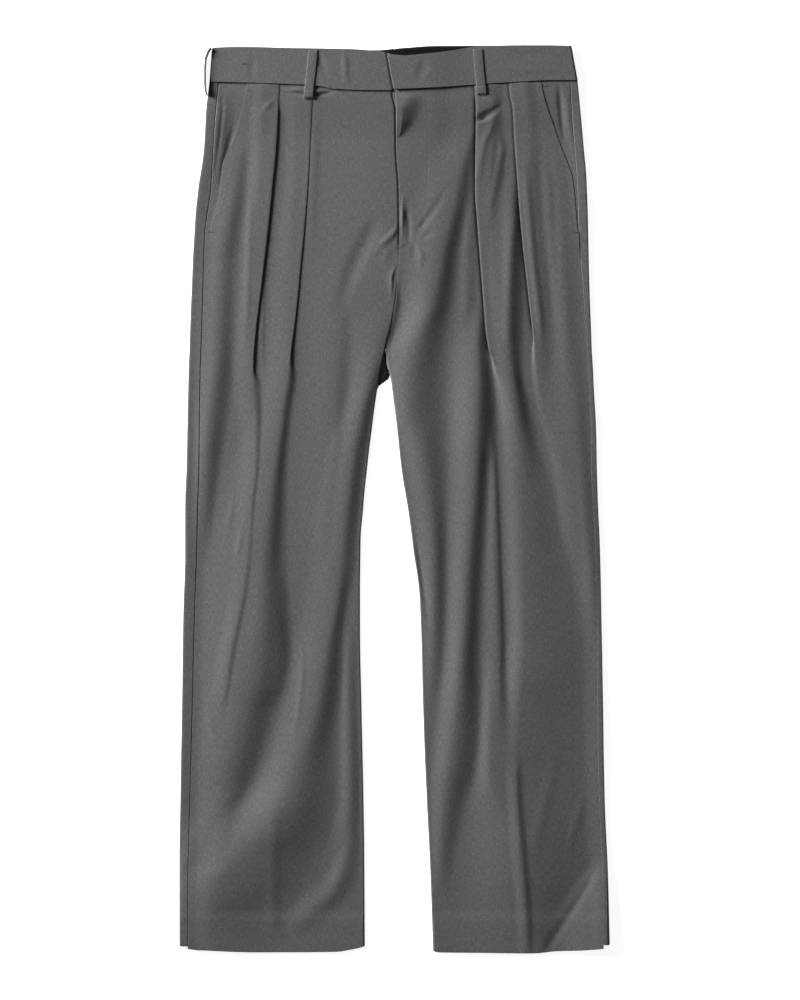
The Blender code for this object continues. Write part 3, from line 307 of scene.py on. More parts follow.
LEFT = {
    "side": 1,
    # down, outer edge, side seam, fly or inner edge
    "outline": (
        (40, 210.5, 202.5, 0), (72, 214, 204, 2.5), (118, 218.5, 207.5, 3), (164, 222, 210.5, 6),
        (216, 223.5, 212.5, 6.5), (279, 225, 217, 2), (331, 227, 220.5, -6.5), (348, 227.5, 221.5, -9.5),
        (360, 228.3, 222.2, -8.3), (371, 229, 223, -6.5), (383, 229.5, 223.5, -3.6), (394, 230, 224, -2.3),
        (440, 232.5, 226, 3.5), (486, 233.5, 226.5, 8.5), (532, 235, 229, 16), (578, 237, 231, 22),
        (647, 238.5, 233, 30), (751, 240.5, 233.5, 33), (866, 242.5, 235.5, 37.5), (946, 246, 239, 41.5),
        (1038, 248, 240.5, 44.5),
    ),
    # down, how far the back reaches past the front's inner edge
    "seat": ((348, 0), (383, 0)),
    # out, down
    "waist seam": ((0, 49.4), (37, 48), (93, 44.2), (145, 40.9), (193, 39.1), (211.5, 39.1)),
    "hem": (
        (44.5, 1039), (53, 1040.4), (103.5, 1040.8), (156.5, 1041.1), (184, 1039), (237, 1035.6),
        (248, 1031),
    ),
    "band top": (
        (-7.5, 12), (7, 11.3), (30, 9.5), (53, 6.9), (76, 3.5), (87.5, 1.5), (104.5, -0.2), (168, -1.1),
        (203.5, -0.6),
    ),
    "back band top": ((0, 2.4), (18.5, 0.9), (53, -0.9), (122, -1.1), (203.5, -0.8)),
    # down, out
    "pocket mouth": (
        (40, 168), (61, 172), (90, 183), (113, 191), (133, 199), (158, 206), (190, 209), (213, 211),
    ),
    # out at the band's top and at its seam
    "band edge": (204, 211),
    "band end": (-7.5, 0),
    # how far the front lies above the pocket facing
    "pocket lift": 0.38,
    # how deep the cloth dips beside a pleat's crest, as a share of the pleat's height
    "pleat dip": 0.45,
    # down, share of its solid's height that the pleat has where it is pressed
    "pleats lie": {
        "outer": ((43, 0.3), (100, 0.3), (141, 0.5), (300, 0.55), (366, 1)),
        "inner": ((43, 0.35), (56, 0.35), (66, 0.6), (300, 0.6), (366, 1)),
    },
    # down, foot towards the side, crest, foot towards the fly, height
    "pleats": {
        "outer": (
            (43, 162, 132, 147, 3), (58, 164, 133.5, 148, 3), (75, 167, 137, 151, 3),
            (100, 170, 138.3, 152, 3), (141, 175, 141.3, 154, 3), (180, 179, 144, 156, 3),
            (220, 183, 147.5, 158, 3), (260, 187, 152, 160.5, 3), (300, 190, 156.5, 162, 3),
            (330, 192, 160, 161.5, 2.6), (350, 193, 162, 158, 2), (366, 194, 164, 157, 1.4),
            (406, 197, 171, 160.5, 0.9), (452, 203, 182.5, 171.5, 0.6), (498, 209, 193, 183, 0.5),
            (555, 214, 200, 188.5, 0.3), (636, 219.5, 204.5, 193, 0), (1038, 225.5, 204.5, 193, 0),
        ),
        "inner": (
            (43, 128, 92.5, 108.5, 3), (80, 126, 94.5, 110, 3), (117, 128, 94, 108.5, 3),
            (160, 128, 93.7, 108, 3), (200, 128, 96, 108.5, 3), (240, 128, 99, 109.5, 3),
            (290, 130, 103, 111.5, 3), (320, 132, 105.3, 111.8, 3), (338, 134, 107.5, 112, 3),
            (364, 141, 115, 112.5, 2.2), (394, 150, 127, 114.5, 1.9), (435, 158, 136, 117, 1.7),
            (470, 172, 141.5, 118.5, 2), (500, 182, 144, 120.5, 2.4), (535, 192, 146.5, 122, 2.7),
            (570, 200, 148, 123.5, 2.9), (607, 212, 149, 125, 3.1), (640, 222, 149.5, 127, 3.2),
            (680, 234, 149.5, 128, 3.4), (722, 238, 147.5, 125, 3.5), (745, 239, 146, 126, 2.6),
            (780, 240, 144, 127, 1.2), (810, 240, 142, 128, 0.5), (840, 240, 140, 128, 0),
            (1043, 240, 140, 128, 0),
        ),
    },
    "folds": {
        "fly": (
            (92, 95, 88, 60, 0), (120, 94, 82, 40, 1.4), (140, 93, 76, 30, 2.1), (160, 91, 71.5, 24, 2.5),
            (180, 88, 68, 20, 2.8), (200, 83, 63.5, 16, 3.1), (220, 79, 59, 13, 3.3),
            (240, 75.5, 54.5, 10, 3.4), (260, 73.5, 51, 7, 3.7), (280, 71.5, 46, 4, 4.1),
            (300, 68.5, 41, 1, 4.5), (320, 65.5, 33, -4, 4.7), (340, 63.5, 26.5, -10, 4.7),
            (360, 62.5, 22, -13, 4.6), (383, 62, 18, -13, 4.3), (417, 61.5, 18, -9, 3.9),
            (440, 61.5, 25, -2, 3.4), (480, 62, 34, 7, 3), (520, 62, 39.5, 14, 2.6), (560, 62, 44, 22, 2.6),
            (600, 61.5, 46, 28, 2.3), (640, 61, 46, 31, 2), (680, 59.5, 46, 32, 1.4), (720, 57, 44, 33, 0.7),
            (760, 54, 43, 34, 0),
        ),
        "beside inner pleat": (
            (170, 94, 88, 80, 0), (200, 95, 87, 79, 0.5), (240, 96, 84, 75, 0.7), (280, 95, 84, 73, 0.7),
            (320, 92, 80, 70, 0.5), (350, 90, 78, 68, 0),
        ),
        "middle": (
            (300, 103, 96, 84, 0), (320, 103.5, 96.5, 78, 1.2), (340, 105.5, 96.5, 68, 2.4),
            (360, 111, 96, 62, 3.4), (380, 114.5, 96.5, 61, 4.2), (400, 118, 95, 60, 4.9),
            (420, 119, 94.5, 60, 5.3), (440, 119, 94, 60, 5.3), (460, 117, 93.5, 60, 4.9),
            (480, 112, 93, 60, 4.2), (500, 110, 92, 60, 3.9), (540, 108, 89, 60, 3.7),
            (580, 106, 85.5, 60, 3.7), (620, 103.5, 82.5, 59, 3.7), (660, 101.5, 80.5, 58, 3.9),
            (700, 100, 77.5, 56, 4.2), (740, 103, 75, 50, 4.5), (780, 106, 71, 45, 4.2),
            (820, 103, 66, 41, 3.9), (860, 88, 60, 39, 2.7), (900, 78, 56, 40, 1.9), (940, 71, 54, 41, 1),
            (975, 68, 53, 42, 0),
        ),
        "narrow": (
            (440, 119, 112, 107, 0), (480, 121.5, 113, 107, 1.1), (540, 124, 115.5, 105, 1.3),
            (600, 126, 117, 102, 1.4), (660, 128.5, 119, 100, 1.5), (720, 131, 119.5, 98, 1.6),
            (760, 134, 119.5, 97, 1.1), (795, 137, 120, 97, 0),
        ),
        "shin": (
            (690, 240, 114, 100, 0), (722, 240, 113, 99, 0.8), (745, 240, 112, 97, 1.6),
            (780, 240, 111, 96, 2.8), (808, 240, 111, 94, 3.4), (840, 240, 113, 89, 3.8),
            (865, 240, 122, 84, 4.1), (895, 240, 138, 77, 4.7), (923, 240, 142, 74, 5.2),
            (950, 236, 145, 73, 5), (981, 222, 149, 70, 4), (1012, 208, 152, 64, 3),
            (1043, 200, 156, 62, 2.4),
        ),
        "front": (
            (150, 141, 134, 116, 0), (176, 143, 135, 112, 1.2), (200, 145.5, 136, 110, 2.2),
            (220, 147, 135, 108, 2.8), (245, 149.5, 134, 107, 3.2), (290, 151, 131.5, 109, 3.3),
            (320, 149.5, 131, 111, 3.3), (348, 148.5, 132.5, 113, 3), (383, 150, 137, 115.5, 2.6),
            (400, 155, 139.5, 117, 2.6), (420, 160, 142, 118, 2.6), (440, 165, 146, 119, 2),
            (470, 172, 150, 122, 1), (500, 180, 154, 126, 0),
        ),
        "side": (
            (118, 208, 182, 172, 0), (176, 213, 187, 172, 0.5), (210, 217, 191, 174, 1.1),
            (279, 220, 195, 178, 1.9), (348, 223, 200, 178, 2), (400, 226, 206, 170, 2.1),
            (452, 229, 209, 170, 2.4), (500, 232, 213, 180, 2.4), (560, 236, 218, 190, 2),
            (607, 238, 224, 202, 1.4), (650, 238, 226, 206, 0.6), (690, 238, 226, 208, 0),
        ),
        "hem corner": (
            (935, 262, 240, 230, 0), (950, 262, 238, 216, 1.6), (965, 264, 235, 203, 2.6),
            (985, 268, 235, 190, 3), (1005, 272, 235, 180, 3.2), (1043, 272, 235, 170, 3.4),
        ),
        # stands up at the fly's edge and slopes away from it
        "fly top": (
            (53, 38, 14, -60, 0), (62, 36, 11, -60, 2.2), (80, 30, 3, -60, 3.9), (96, 17, 3, -60, 2.6),
            (105, 10, 3, -60, 0),
        ),
        # a dip beside the seat seam, above the crotch
        "seat seam": (
            (262, 34, 8, 1, 0), (285, 40, 9, 0, -1), (300, 42, 9.5, -2, -1.7), (315, 38, 7, -5, -1.7),
            (332, 32, 1, -8, -1.3), (350, 26, -5, -11, 0),
        ),
        # soft on one side and sharp on the other
        "pressed crease": (
            (815, 147, 140, 125, 0), (850, 148, 140.5, 127, 1.1), (918, 152, 145.5, 131, 1.4),
            (1000, 158.5, 152, 138, 1.3), (1045, 160, 154, 140, 0.6),
        ),
        # a broad swell beside the fly
        "belly": (
            (58, 100, -4, -90, 0), (110, 115, -2, -92, 1.1), (250, 100, -2, -98, 1.3),
            (300, 70, -10, -100, 0.8), (345, 50, -20, -100, 0),
        ),
        "turned corner": (
            (945, 310, 262, 228, 0), (965, 310, 262, 210, 1.6), (1000, 310, 262, 188, 3),
            (1043, 310, 262, 172, 3.4),
        ),
    },
    # finer creases, each a path of out, down, half width, height
    "creases": (
        # two streaks between the pleats
        ((116, 84, 5, 0), (104, 108, 6, 0.9), (99, 135, 6, 0.6), (96, 160, 5, 0)),
        ((123, 96, 5, 0), (124, 120, 7, 0.8), (119, 150, 7, 0.5), (112, 180, 7, 0.35), (108, 205, 6, 0)),
        # beside the outer pleat
        ((150, 125, 5, 0), (153, 170, 7, 0.8), (157, 220, 7, 0.9), (161, 260, 7, 0.9),
         (167, 310, 7, 0.8), (171, 350, 5, 0)),
        ((172, 120, 7, 0), (176, 160, 9, 0.7), (178, 200, 9, 0.8), (182, 250, 8, 0.6), (190, 320, 6, 0)),
        # across the shin
        ((222, 850, 7, 0), (209, 890, 9, 0.35), (199, 930, 8, 0)),
        ((189, 800, 9, 0), (175, 860, 11, 0.35), (165, 900, 11, 0.35), (158, 945, 9, 0)),
        # between the pleats and beside the fly, just below the waistband
        ((92, 87, 5, 0), (101, 82, 7, -2.1), (110, 77, 7, -2), (119, 71, 5, -0.6), (126, 66, 4, 0)),
        # down the inner thigh
        ((24, 555, 4, 0), (31, 598, 5, -0.6), (37, 640, 5, -0.6), (42, 685, 4, 0)),
        # on the fly, above its bar tack
        ((16, 176, 2.5, 0), (15, 195, 3, -1.2), (17, 215, 3, -1.2), (15, 231, 2.5, 0)),
        ((10.5, 170, 3, 0), (9.5, 195, 3.5, 1), (10, 222, 3, 0)),
        ((37, 196, 3, 0), (32, 206, 3.5, -1.1), (26, 213, 3, 0)),
        ((34, 219, 3, 0), (40, 216, 3.5, -0.9), (47, 214, 3, 0)),
        ((30, 210, 3, 0), (40, 196, 5, -0.8), (52, 178, 6, -0.5), (62, 160, 5, 0)),
        ((23, 224, 2.5, 0), (23, 235, 3, -1), (24, 246, 2.5, 0)),
        ((28, 226, 3, 0), (31, 240, 4, 1), (30, 258, 3, 0)),
        # the front fold's crest, and the edge of the turned-up hem corner
        ((133, 200, 6, 0), (132, 245, 8, 0.5), (131, 290, 8, 0.6), (131, 330, 8, 0.6), (133, 360, 7, 0)),
        ((236, 940, 4, 0), (222, 965, 6, -0.8), (200, 1000, 7, -0.9), (177, 1034, 7, -0.9)),
    ),
    "facing creases": (
        ((189, 42, 4, 0), (191, 60, 6, -1), (193, 88, 5, -0.7), (196, 112, 4, 0)),
        ((199, 46, 3, 0), (200, 80, 4, 0.4), (205, 125, 3, 0)),
    ),
    "band creases": (
        ((35, 12, 7, 0), (33, 26, 10, -0.6), (26, 44, 6, 0)),
        ((120, 6, 6, 0), (150, 11, 7, -0.5), (190, 9, 6, 0)),
        ((110, 26, 5, 0), (150, 28, 6, 0.45), (195, 26, 5, 0)),
    ),
}

FRONT_LOOPS = {
    # name: places from the top end to the bottom one, as x, down, height
    "belt_loop_front_right": (
        (-92.6, 4.5, 7.2), (-93.2, 9, 7.35), (-94.6, 24, 7.4), (-96.6, 42, 7.4), (-97.8, 53, 7.1),
        (-98.3, 59.5, 6.6),
    ),
    "belt_loop_front_left": (
        (96.2, 3.6, 7.2), (96.5, 8, 7.35), (97.6, 22, 7.4), (99.2, 38, 7.4), (100.2, 49, 7.1),
        (100.6, 55.2, 6.7),
    ),
}
# places down the side loop as x, down
SIDE_LOOP = ((-210.3, 2), (-214.2, 9), (-216.4, 18), (-217, 30), (-217, 42), (-216.2, 51), (-215.3, 56))
SIDE_LOOP_HEIGHT = 5.3
# name: x of its middle
HIDDEN_LOOPS = {"belt_loop_side_left": 188, "belt_loop_back": 0}
HIDDEN_LOOP_ENDS = (3.5, 57)
LOOP_WIDTH = 11
LOOP_ROWS = 60
LOOP_COLUMNS = 14
LOOP_CROWN = 0.2
LOOP_TURN_UNDER = 9
STANDING_LOOP_WIDTH = 9.8
BAND_FACING_ENDS = (-32, 100)
BAND_FACING_DOWN = (1, 22)

# node: width and length of its cut, its area, what it lies on
CUTS = {
    "front_right": (300, 1040, 227000, ["back_right"]),
    "front_left": (290, 1040, 227000, ["back_left", "front_right"]),
    "back_right": (260, 1037, 237000, ["floor"]),
    "back_left": (260, 1033, 230000, ["floor"]),
    "pocket_facing_right": (50, 190, 5400, ["back_right"]),
    "pocket_facing_left": (50, 190, 4800, ["back_left"]),
    "waistband_right": (460, 47, 18400, ["floor"]),
    "waistband_left": (425, 45, 16900, ["floor", "waistband_right"]),
    "waistband_facing": (132, 21, 2770, ["waistband_right", "waistband_left"]),
    "belt_loop_front_right": (11, 65, 710, ["waistband_right", "front_right"]),
    "belt_loop_front_left": (11, 62, 680, ["waistband_left", "front_left"]),
    "belt_loop_side_right": (10, 56, 545, ["waistband_right"]),
    "belt_loop_side_left": (11, 63, 690, ["floor"]),
    "belt_loop_back": (11, 63, 690, ["floor"]),
}

# Sewing
STITCH_LENGTH = 1.7
STITCH_PITCH = 2.6
STITCH_WIDTH = 0.34
STITCH_SIDES = 6
# share of a stitch's length, share of its width there
STITCH_RINGS = ((0.2, 0.8), (0.5, 1), (0.8, 0.8))
TACK_PITCH = 0.9 * STITCH_WIDTH
# where the rays start that find the cloth under the sewing
RAY_HEIGHT = 1000
SEWN_LINES = {
    # name: its path as x, down
    "fly_stitch": ((36, 50), (36.8, 90), (37.2, 130), (36, 165), (33, 190), (27, 208), (18, 221), (7, 229)),
    "pocket_stitch_right": ((-161.5, 52), (-168, 78), (-180.5, 125), (-195.5, 176), (-207, 215)),
    "pocket_stitch_left": (
        (161.5, 48), (165, 62), (175, 90), (184, 114), (191, 134), (198, 158), (203, 190), (206, 214),
    ),
}
BAR_TACKS = {
    # name: start and end of the bar's middle line, its width
    "tack_fly": ((3, 231.5), (12, 229), 1.6),
    "tack_pocket_right_top": ((-162, 52), (-169, 50), 1.5),
    "tack_pocket_right_bottom": ((-206, 213.5), (-214, 213), 1.6),
    "tack_pocket_left_top": ((166, 47), (177, 45.5), 1.5),
    "tack_pocket_left_bottom": ((204, 214), (212, 213.5), 1.6),
}
# Near-black tacks: at the loops' lower ends their black is painted shade, the shadow in the gap under each
# loop's turned-under end
DARK_TACKS_AND_SHADE = {
    "tack_band": ((-174, 20.5), (-168.8, 20.7), 1.7),
    "tack_and_gap_shade_loop_right": ((-92.6, 58.6), (-102.8, 58.4), 1.6),
    "tack_and_gap_shade_loop_left": ((95.6, 54.8), (105.6, 54.3), 1.2),
}

# Camera and light: the photograph's frame on the floor, and a round light
FRAME_HEIGHT = 1150
FRAME_CENTRE = (6.4, -1)
CAMERA_HEIGHT = 3400
KEY_ELEVATION = 17
KEY_AZIMUTH = 152
KEY_DISTANCE = 3900
KEY_SIZE = 1650
KEY_POWER = 629
FILL_STRENGTH = 0.115
FLOOR_SIZE = 8000

# The wool: linear colours, and its fibres as noise with so many cells a metre across and along the threads
WOOL = (0.074, 0.074, 0.076)
WOOL_DARK = (0.058, 0.0575, 0.059)
WOOL_LIGHT = (0.09, 0.0895, 0.091)
WOOL_ROUGHNESS = 0.85
WOOL_SHINE = 0.25
WOOL_SHEEN = 0.04
WOOL_SHEEN_ROUGHNESS = 0.35
WARP = (1500, 160, 1)
WEFT = (200, 1300, 1)
WEFT_SHARE = 0.6
FIBRE_DETAIL = 2.0
# the fibres' values that are all dark and all light
HEATHER = (0.62, 0.98)
TWILL_PITCH = 0.9
TWILL_SLANT = 0.6
TWILL_RELIEF = 0.5
# how strongly and how deep the threads stand out
WOOL_BUMP = (0.22, 0.12)
PALE_END = (0.2, 0.2, 0.203)
# size of the cells with one pale end each, its radius, how much of it shows
PALE_ENDS = ((6.5, 0.42, 0.7), (3.1, 0.26, 0.25))
# share of its radius where a pale end is fullest
PALE_CORE = 0.6

# Lining, thread and floor
# dark lining cloth, made near-black with painted shade for the inside of the back of the band
LINING_AND_SHADE = (0.006, 0.006, 0.007)
LINING_SHINE = 0.05
LINING_RIB = 0.6
LINING_BUMP = (0.3, 0.1)
GREY_THREAD = (0.048, 0.048, 0.051)
# near-black thread, partly painted shade: it stands in for the shadow in the gaps under the loops' ends
DARK_THREAD_AND_SHADE = (0.008, 0.008, 0.009)
THREAD_ROUGHNESS = 0.6
THREAD_DARKER = 0.7
THREAD_CLOUDS = 2500.0
FLOOR = (0.95, 0.95, 0.95)
FLOOR_ROUGHNESS = 0.8
FLOOR_DARKER = 0.985
FLOOR_CLOUDS = 2.0
FLOOR_DETAIL = 3.0
# painted light: the floor glows though it is no lamp, so that shadows on it stay faint
FLOOR_PAINTED_LIGHT = 0.85


def smooth(share):
    """Eases from 0 to 1."""
    share = np.clip(share, 0, 1)
    return share * share * (3 - 2 * share)


def fade(place, start, length):
    """1 up to the start, easing to 0 over the length after it."""
    return 1 - smooth((place - start) / length)


def bump(away):
    """1 at 0, easing to 0 at 1 to both sides."""
    return (1 + np.cos(math.pi * np.clip(np.abs(away), 0, 1))) / 2


def curve(places, values):
    """A smooth function through the points that doesn't overshoot between them."""
    places = np.array(places, float)
    values = np.array(values, float)
    step = np.diff(places)
    slope = np.diff(values) / step
    product = slope[:-1] * slope[1:]
    total = np.where(product > 0, slope[:-1] + slope[1:], 1)
    tangent = np.concatenate([slope[:1], np.where(product > 0, 2 * product / total, 0), slope[-1:]])

    def at(place):
        place = np.clip(place, places[0], places[-1])
        left = np.clip(np.searchsorted(places, place, side="right") - 1, 0, len(step) - 1)
        share = (place - places[left]) / step[left]
        start = values[left] + share * step[left] * tangent[left]
        end = values[left + 1] + (share - 1) * step[left] * tangent[left + 1]
        return start + (end - start) * smooth(share)

    return at


def columns(table):
    """One curve for each column of a table after its first."""
    first, *others = zip(*table)
    return [curve(first, column) for column in others]


class Fold:
    """A ridge across the leg: it rises from a foot to a crest and falls to another foot."""

    def __init__(self, table):
        self.first = table[0][0]
        self.last = table[-1][0]
        self.side_foot, self.crest, self.fly_foot, self.height = columns(table)

    def lift(self, out, down):
        side_foot, crest, fly_foot = self.side_foot(down), self.crest(down), self.fly_foot(down)
        away = np.where(out > crest, (out - crest) / (side_foot - crest), (crest - out) / (crest - fly_foot))
        ridge = self.height(down) * bump(away)
        return np.where((down >= self.first) & (down <= self.last), ridge, 0)


class Pleat(Fold):
    """A fold whose crest laps over its foot on the fly side, pressed flatter near the band."""

    def __init__(self, table, lies, dip):
        super().__init__(table)
        self.lies, = columns(lies)
        self.dip = dip

    def full_height(self, down):
        return self.height(down) * self.lies(down)

    def dips(self, out, down):
        """How the cloth that the crest lies on dips beside it, until the pleat opens."""
        crest = self.crest(down)
        lapped = smooth((self.fly_foot(down) - crest) / PLEAT_DIP_OPENS)
        return -self.dip * self.full_height(down) * lapped * bump((out - crest + DIP_ASIDE) / DIP_WIDTH)

    def ends(self, down):
        """Where the upper bend of the Z starts and where the lower one ends."""
        return self.crest(down) + PLEAT_BEND, self.fly_foot(down) - PLEAT_BEND

    def cover(self, down):
        """How far out from the crest the upper layer keeps its full height, clear of the lower bend."""
        upper, lower = self.ends(down)
        return np.maximum(upper, lower + PLEAT_COVER)

    def slope(self, out, down):
        """How far the cloth is lifted on its way from the side up to the crest."""
        foot = self.side_foot(down)
        return self.full_height(down) * smooth((foot - out) / (foot - self.cover(down)))

    def bends(self, down, count):
        """The Z itself, as places out and heights: two equal arcs, joined by the line that touches both."""
        upper, lower = self.ends(down)
        height = max(float(self.full_height(down)), PLEAT_LEAST_HEIGHT)
        across = upper - lower
        widest = PLEAT_WIDEST_SHARE * (across ** 2 + height ** 2) / (4 * height)
        radius = widest if across > 0 else min(PLEAT_BEND, height / PLEAT_RADII, widest)
        straight = math.sqrt(max(across ** 2 + height ** 2 - 4 * radius * height, 0))
        turn = math.atan2(2 * radius, straight) - math.atan2(2 * radius - height, across)
        angles = np.linspace(0, turn, count)
        aside, below = radius * np.sin(angles), radius * (1 - np.cos(angles))
        return np.append(upper - aside, lower + aside[::-1]), np.append(height - below, below[::-1])


def crease_lift(paths, out, down):
    """The lift that soft ridges and troughs along paths give to each place."""
    total = np.zeros(np.shape(out))
    for path in paths:
        nearest = np.full(np.shape(out), np.inf)
        height = np.zeros(np.shape(out))
        for start, end in zip(np.array(path[:-1], float), np.array(path[1:], float)):
            run_out, run_down = end[:2] - start[:2]
            along = (out - start[0]) * run_out + (down - start[1]) * run_down
            share = np.clip(along / (run_out ** 2 + run_down ** 2), 0, 1)
            away = np.hypot(out - start[0] - share * run_out, down - start[1] - share * run_down)
            away = away / (start[2] + share * (end[2] - start[2]))
            closer = away < nearest
            nearest = np.where(closer, away, nearest)
            height = np.where(closer, start[3] + share * (end[3] - start[3]), height)
        total = total + height * bump(nearest)
    return total


class Leg:
    """The curves of one side of the trousers, and the height of its upper cloth."""

    def __init__(self, tables):
        self.side = tables["side"]
        self.edge, self.seam, self.inner = columns(tables["outline"])
        self.seat, = columns(tables["seat"])
        self.waist_seam, = columns(tables["waist seam"])
        self.hem, = columns(tables["hem"])
        self.band_top, = columns(tables["band top"])
        self.back_band_top, = columns(tables["back band top"])
        self.pocket_mouth, = columns(tables["pocket mouth"])
        self.band_edge = tables["band edge"]
        self.band_end = tables["band end"]
        self.pocket_lift = tables["pocket lift"]
        self.outer_pleat, self.inner_pleat = (
            Pleat(tables["pleats"][name], tables["pleats lie"][name], tables["pleat dip"])
            for name in ("outer", "inner")
        )
        self.folds = [Fold(table) for table in tables["folds"].values()]
        self.creases = tables["creases"]
        self.facing_creases = tables["facing creases"]
        self.band_creases = tables["band creases"]

    def rest(self, out, down):
        """Height without the pleats: low where the front lies on the back, rounded up at the side."""
        height = VALLEY_Z + (EDGE_Z - VALLEY_Z) * fade(self.edge(down) - out, *EDGE_ROUND)
        height = height + (WAIST_Z - height) * fade(down, *WAIST_HOLD)
        height = height + WAIST_RISE * fade(down - self.waist_seam(out), *WAIST_RISE_DOWN)
        height = height + HEM_LIFT * fade(HEM_ROW - down, *HEM_LIFT_UP)
        return height + sum(fold.lift(out, down) for fold in self.folds)

    def top(self, out, down):
        """Height beside the side seam, outside both pleats."""
        return self.rest(out, down) + self.outer_pleat.slope(out, down) + self.inner_pleat.slope(out, down)

    def down(self, row, out):
        """A row bends with the waist seam near the waist and with the hem near the hem."""
        near_waist = fade(row, *WAIST_CURVE)
        near_hem = fade(HEM_ROW - row, *HEM_CURVE)
        row = row + (self.hem(out) - HEM_ROW) * near_hem
        return row + (self.waist_seam(out) + SEAM_GAP - WAIST_ROW) * near_waist


def points(x, down, height):
    """Points in the model's frame, in millimetres."""
    return np.stack(np.broadcast_arrays(x + ORIGIN[0], ORIGIN[1] - down, height), axis=-1)


def spread(start, end, count):
    """Places from start towards end, without end itself."""
    return start + (end - start) * np.arange(count) / count


def spread_to_pleat(start, pleat, row, count):
    """Places from start to a pleat's crest, without it: the last few over the pleat's lower layers."""
    upper, _ = pleat.ends(row)
    cover = max(pleat.cover(row), upper + PLEAT_LEAST_COVER)
    return np.append(spread(start, cover, count), spread(cover, upper, COVER_COLUMNS))


def spread_under(start, edge, end, count):
    """Places from start, under an edge that lies on the cloth, on towards end, closest beside that edge."""
    near = min(edge + DIP_START, start - GAP) - np.array(DIP_STEPS)
    under = spread(start, near[0], UNDER_COLUMNS)[1:]
    return np.concatenate([under, near[:-1], spread(near[-1], end, count)])


def rows_down(stretches):
    """Rows from the waist seam down, closer together at both ends."""
    near_end = np.array(EDGE_STEPS)
    bottom = stretches[-1][0] - near_end[::-1]
    rows = [WAIST_ROW + near_end]
    start = WAIST_ROW + PAST_EDGE
    for last, count in stretches:
        last = min(last, bottom[0])
        rows.append(spread(start, last, count))
        start = last
    return np.concatenate([*rows, bottom])


def fly_reach(leg, down):
    """How far the right front goes on under the left one."""
    reach, = columns(UNDERLAP)
    return reach(down) if leg.side < 0 else 0


def front_lift(leg, out, down, row):
    """What lifts the front: the pocket facing and the underlap.  At its seam with the band it turns down."""
    inside_mouth = leg.pocket_mouth(down) - out
    lift = leg.pocket_lift * fade(inside_mouth, *POCKET_LIFT_ACROSS) * fade(down, *POCKET_LIFT_DOWN)
    if leg.side > 0:
        lift = lift + FLY_LIFT * fade(out, *FLY_LIFT_ACROSS) * fade(down, *FLY_LIFT_DOWN)
    else:
        beside_fly = (out - leg.inner(down) - DIP_ASIDE) / FLY_DIP_WIDTH
        lift = lift - FLY_DIP * bump(beside_fly) * fade(down, *FLY_DIP_DOWN)
        lift = lift - UNDERLAP_DROP * smooth((leg.inner(down) - out) / UNDERLAP_DROP_ACROSS)
    return lift - SEAM_TUCK * fade(row - WAIST_ROW, *SEAM_TUCK_DOWN)


def curled_end(middle, drop, curl):
    """A front's last places and heights: level to its fly, or curled down to the back as far as curl says."""
    share = np.arange(END_COLUMNS + 1) / END_COLUMNS
    quarter = share * math.pi / 2
    out = middle + drop * (1 - share - (np.sin(quarter) - share) * curl)
    return out, -curl * drop * (1 - np.cos(quarter))


def front_row(leg, row):
    """One row of a front, from its side edge to its fly or inner edge."""
    outer, inner = leg.outer_pleat, leg.inner_pleat
    start = leg.pocket_mouth(row) if row < POCKET_BOTTOM else leg.seam(row) - SEAM_GAP / 2
    end = leg.inner(row) + SEAM_GAP / 2 - fly_reach(leg, row)
    curl = 1 - fade(row, *CURL_OPEN)
    drop = leg.rest(end, row) - SOLID_CLOTH - GAP
    middle = end + SOLID_CLOTH / 2 * curl
    end_out, end_z = curled_end(middle, drop, curl)
    first_out, first_z = outer.bends(row, PLEAT_ARC_POINTS)
    second_out, second_z = inner.bends(row, PLEAT_ARC_POINTS)
    beside_seam = start - np.array(EDGE_STEPS)
    side_out = np.append(beside_seam, spread_to_pleat(start - PAST_EDGE, outer, row, SIDE_COLUMNS))
    past_outer = spread_under(first_out[-1], float(outer.crest(row)), first_out[-1], 0)
    to_inner = spread_to_pleat(past_outer[-1] - GAP, inner, row, BETWEEN_COLUMNS)
    between_out = np.append(past_outer, to_inner)
    past_fly = max(leg.inner(row) - FLY_EDGE_REACH[1], middle + drop + GAP)
    before_fly = max(leg.inner(row) + FLY_EDGE_REACH[0], past_fly + FLY_EDGE_LEAST)
    fly_out = np.concatenate([
        spread_under(second_out[-1], float(inner.crest(row)), before_fly, FLY_COLUMNS),
        spread(before_fly, past_fly, FLY_EDGE_COLUMNS),
        spread(past_fly, middle + drop, UNDERLAP_COLUMNS),
    ])

    # Each stretch: places out, heights above the ground, and where that ground is measured.  The cloth
    # under a pleat lies level with the pleat's crest, and the curled end is measured from where it starts.
    between_z = inner.slope(between_out, row) + outer.dips(between_out, row)
    stretches = (
        (side_out, outer.slope(side_out, row) + inner.slope(side_out, row), side_out),
        (first_out, first_z + inner.slope(first_out, row), np.minimum(first_out, outer.crest(row))),
        (between_out, between_z, np.minimum(between_out, outer.crest(row))),
        (second_out, second_z, np.minimum(second_out, inner.crest(row))),
        (fly_out, inner.dips(fly_out, row), np.minimum(fly_out, inner.crest(row))),
        (end_out, end_z, np.full_like(end_out, middle + drop)),
    )
    out, lift, ground = (np.concatenate(parts) for parts in zip(*stretches))
    down = leg.down(row, out)
    height = leg.rest(ground, down) + lift + front_lift(leg, out, down, row)
    return out, down, height + crease_lift(leg.creases, out, down)


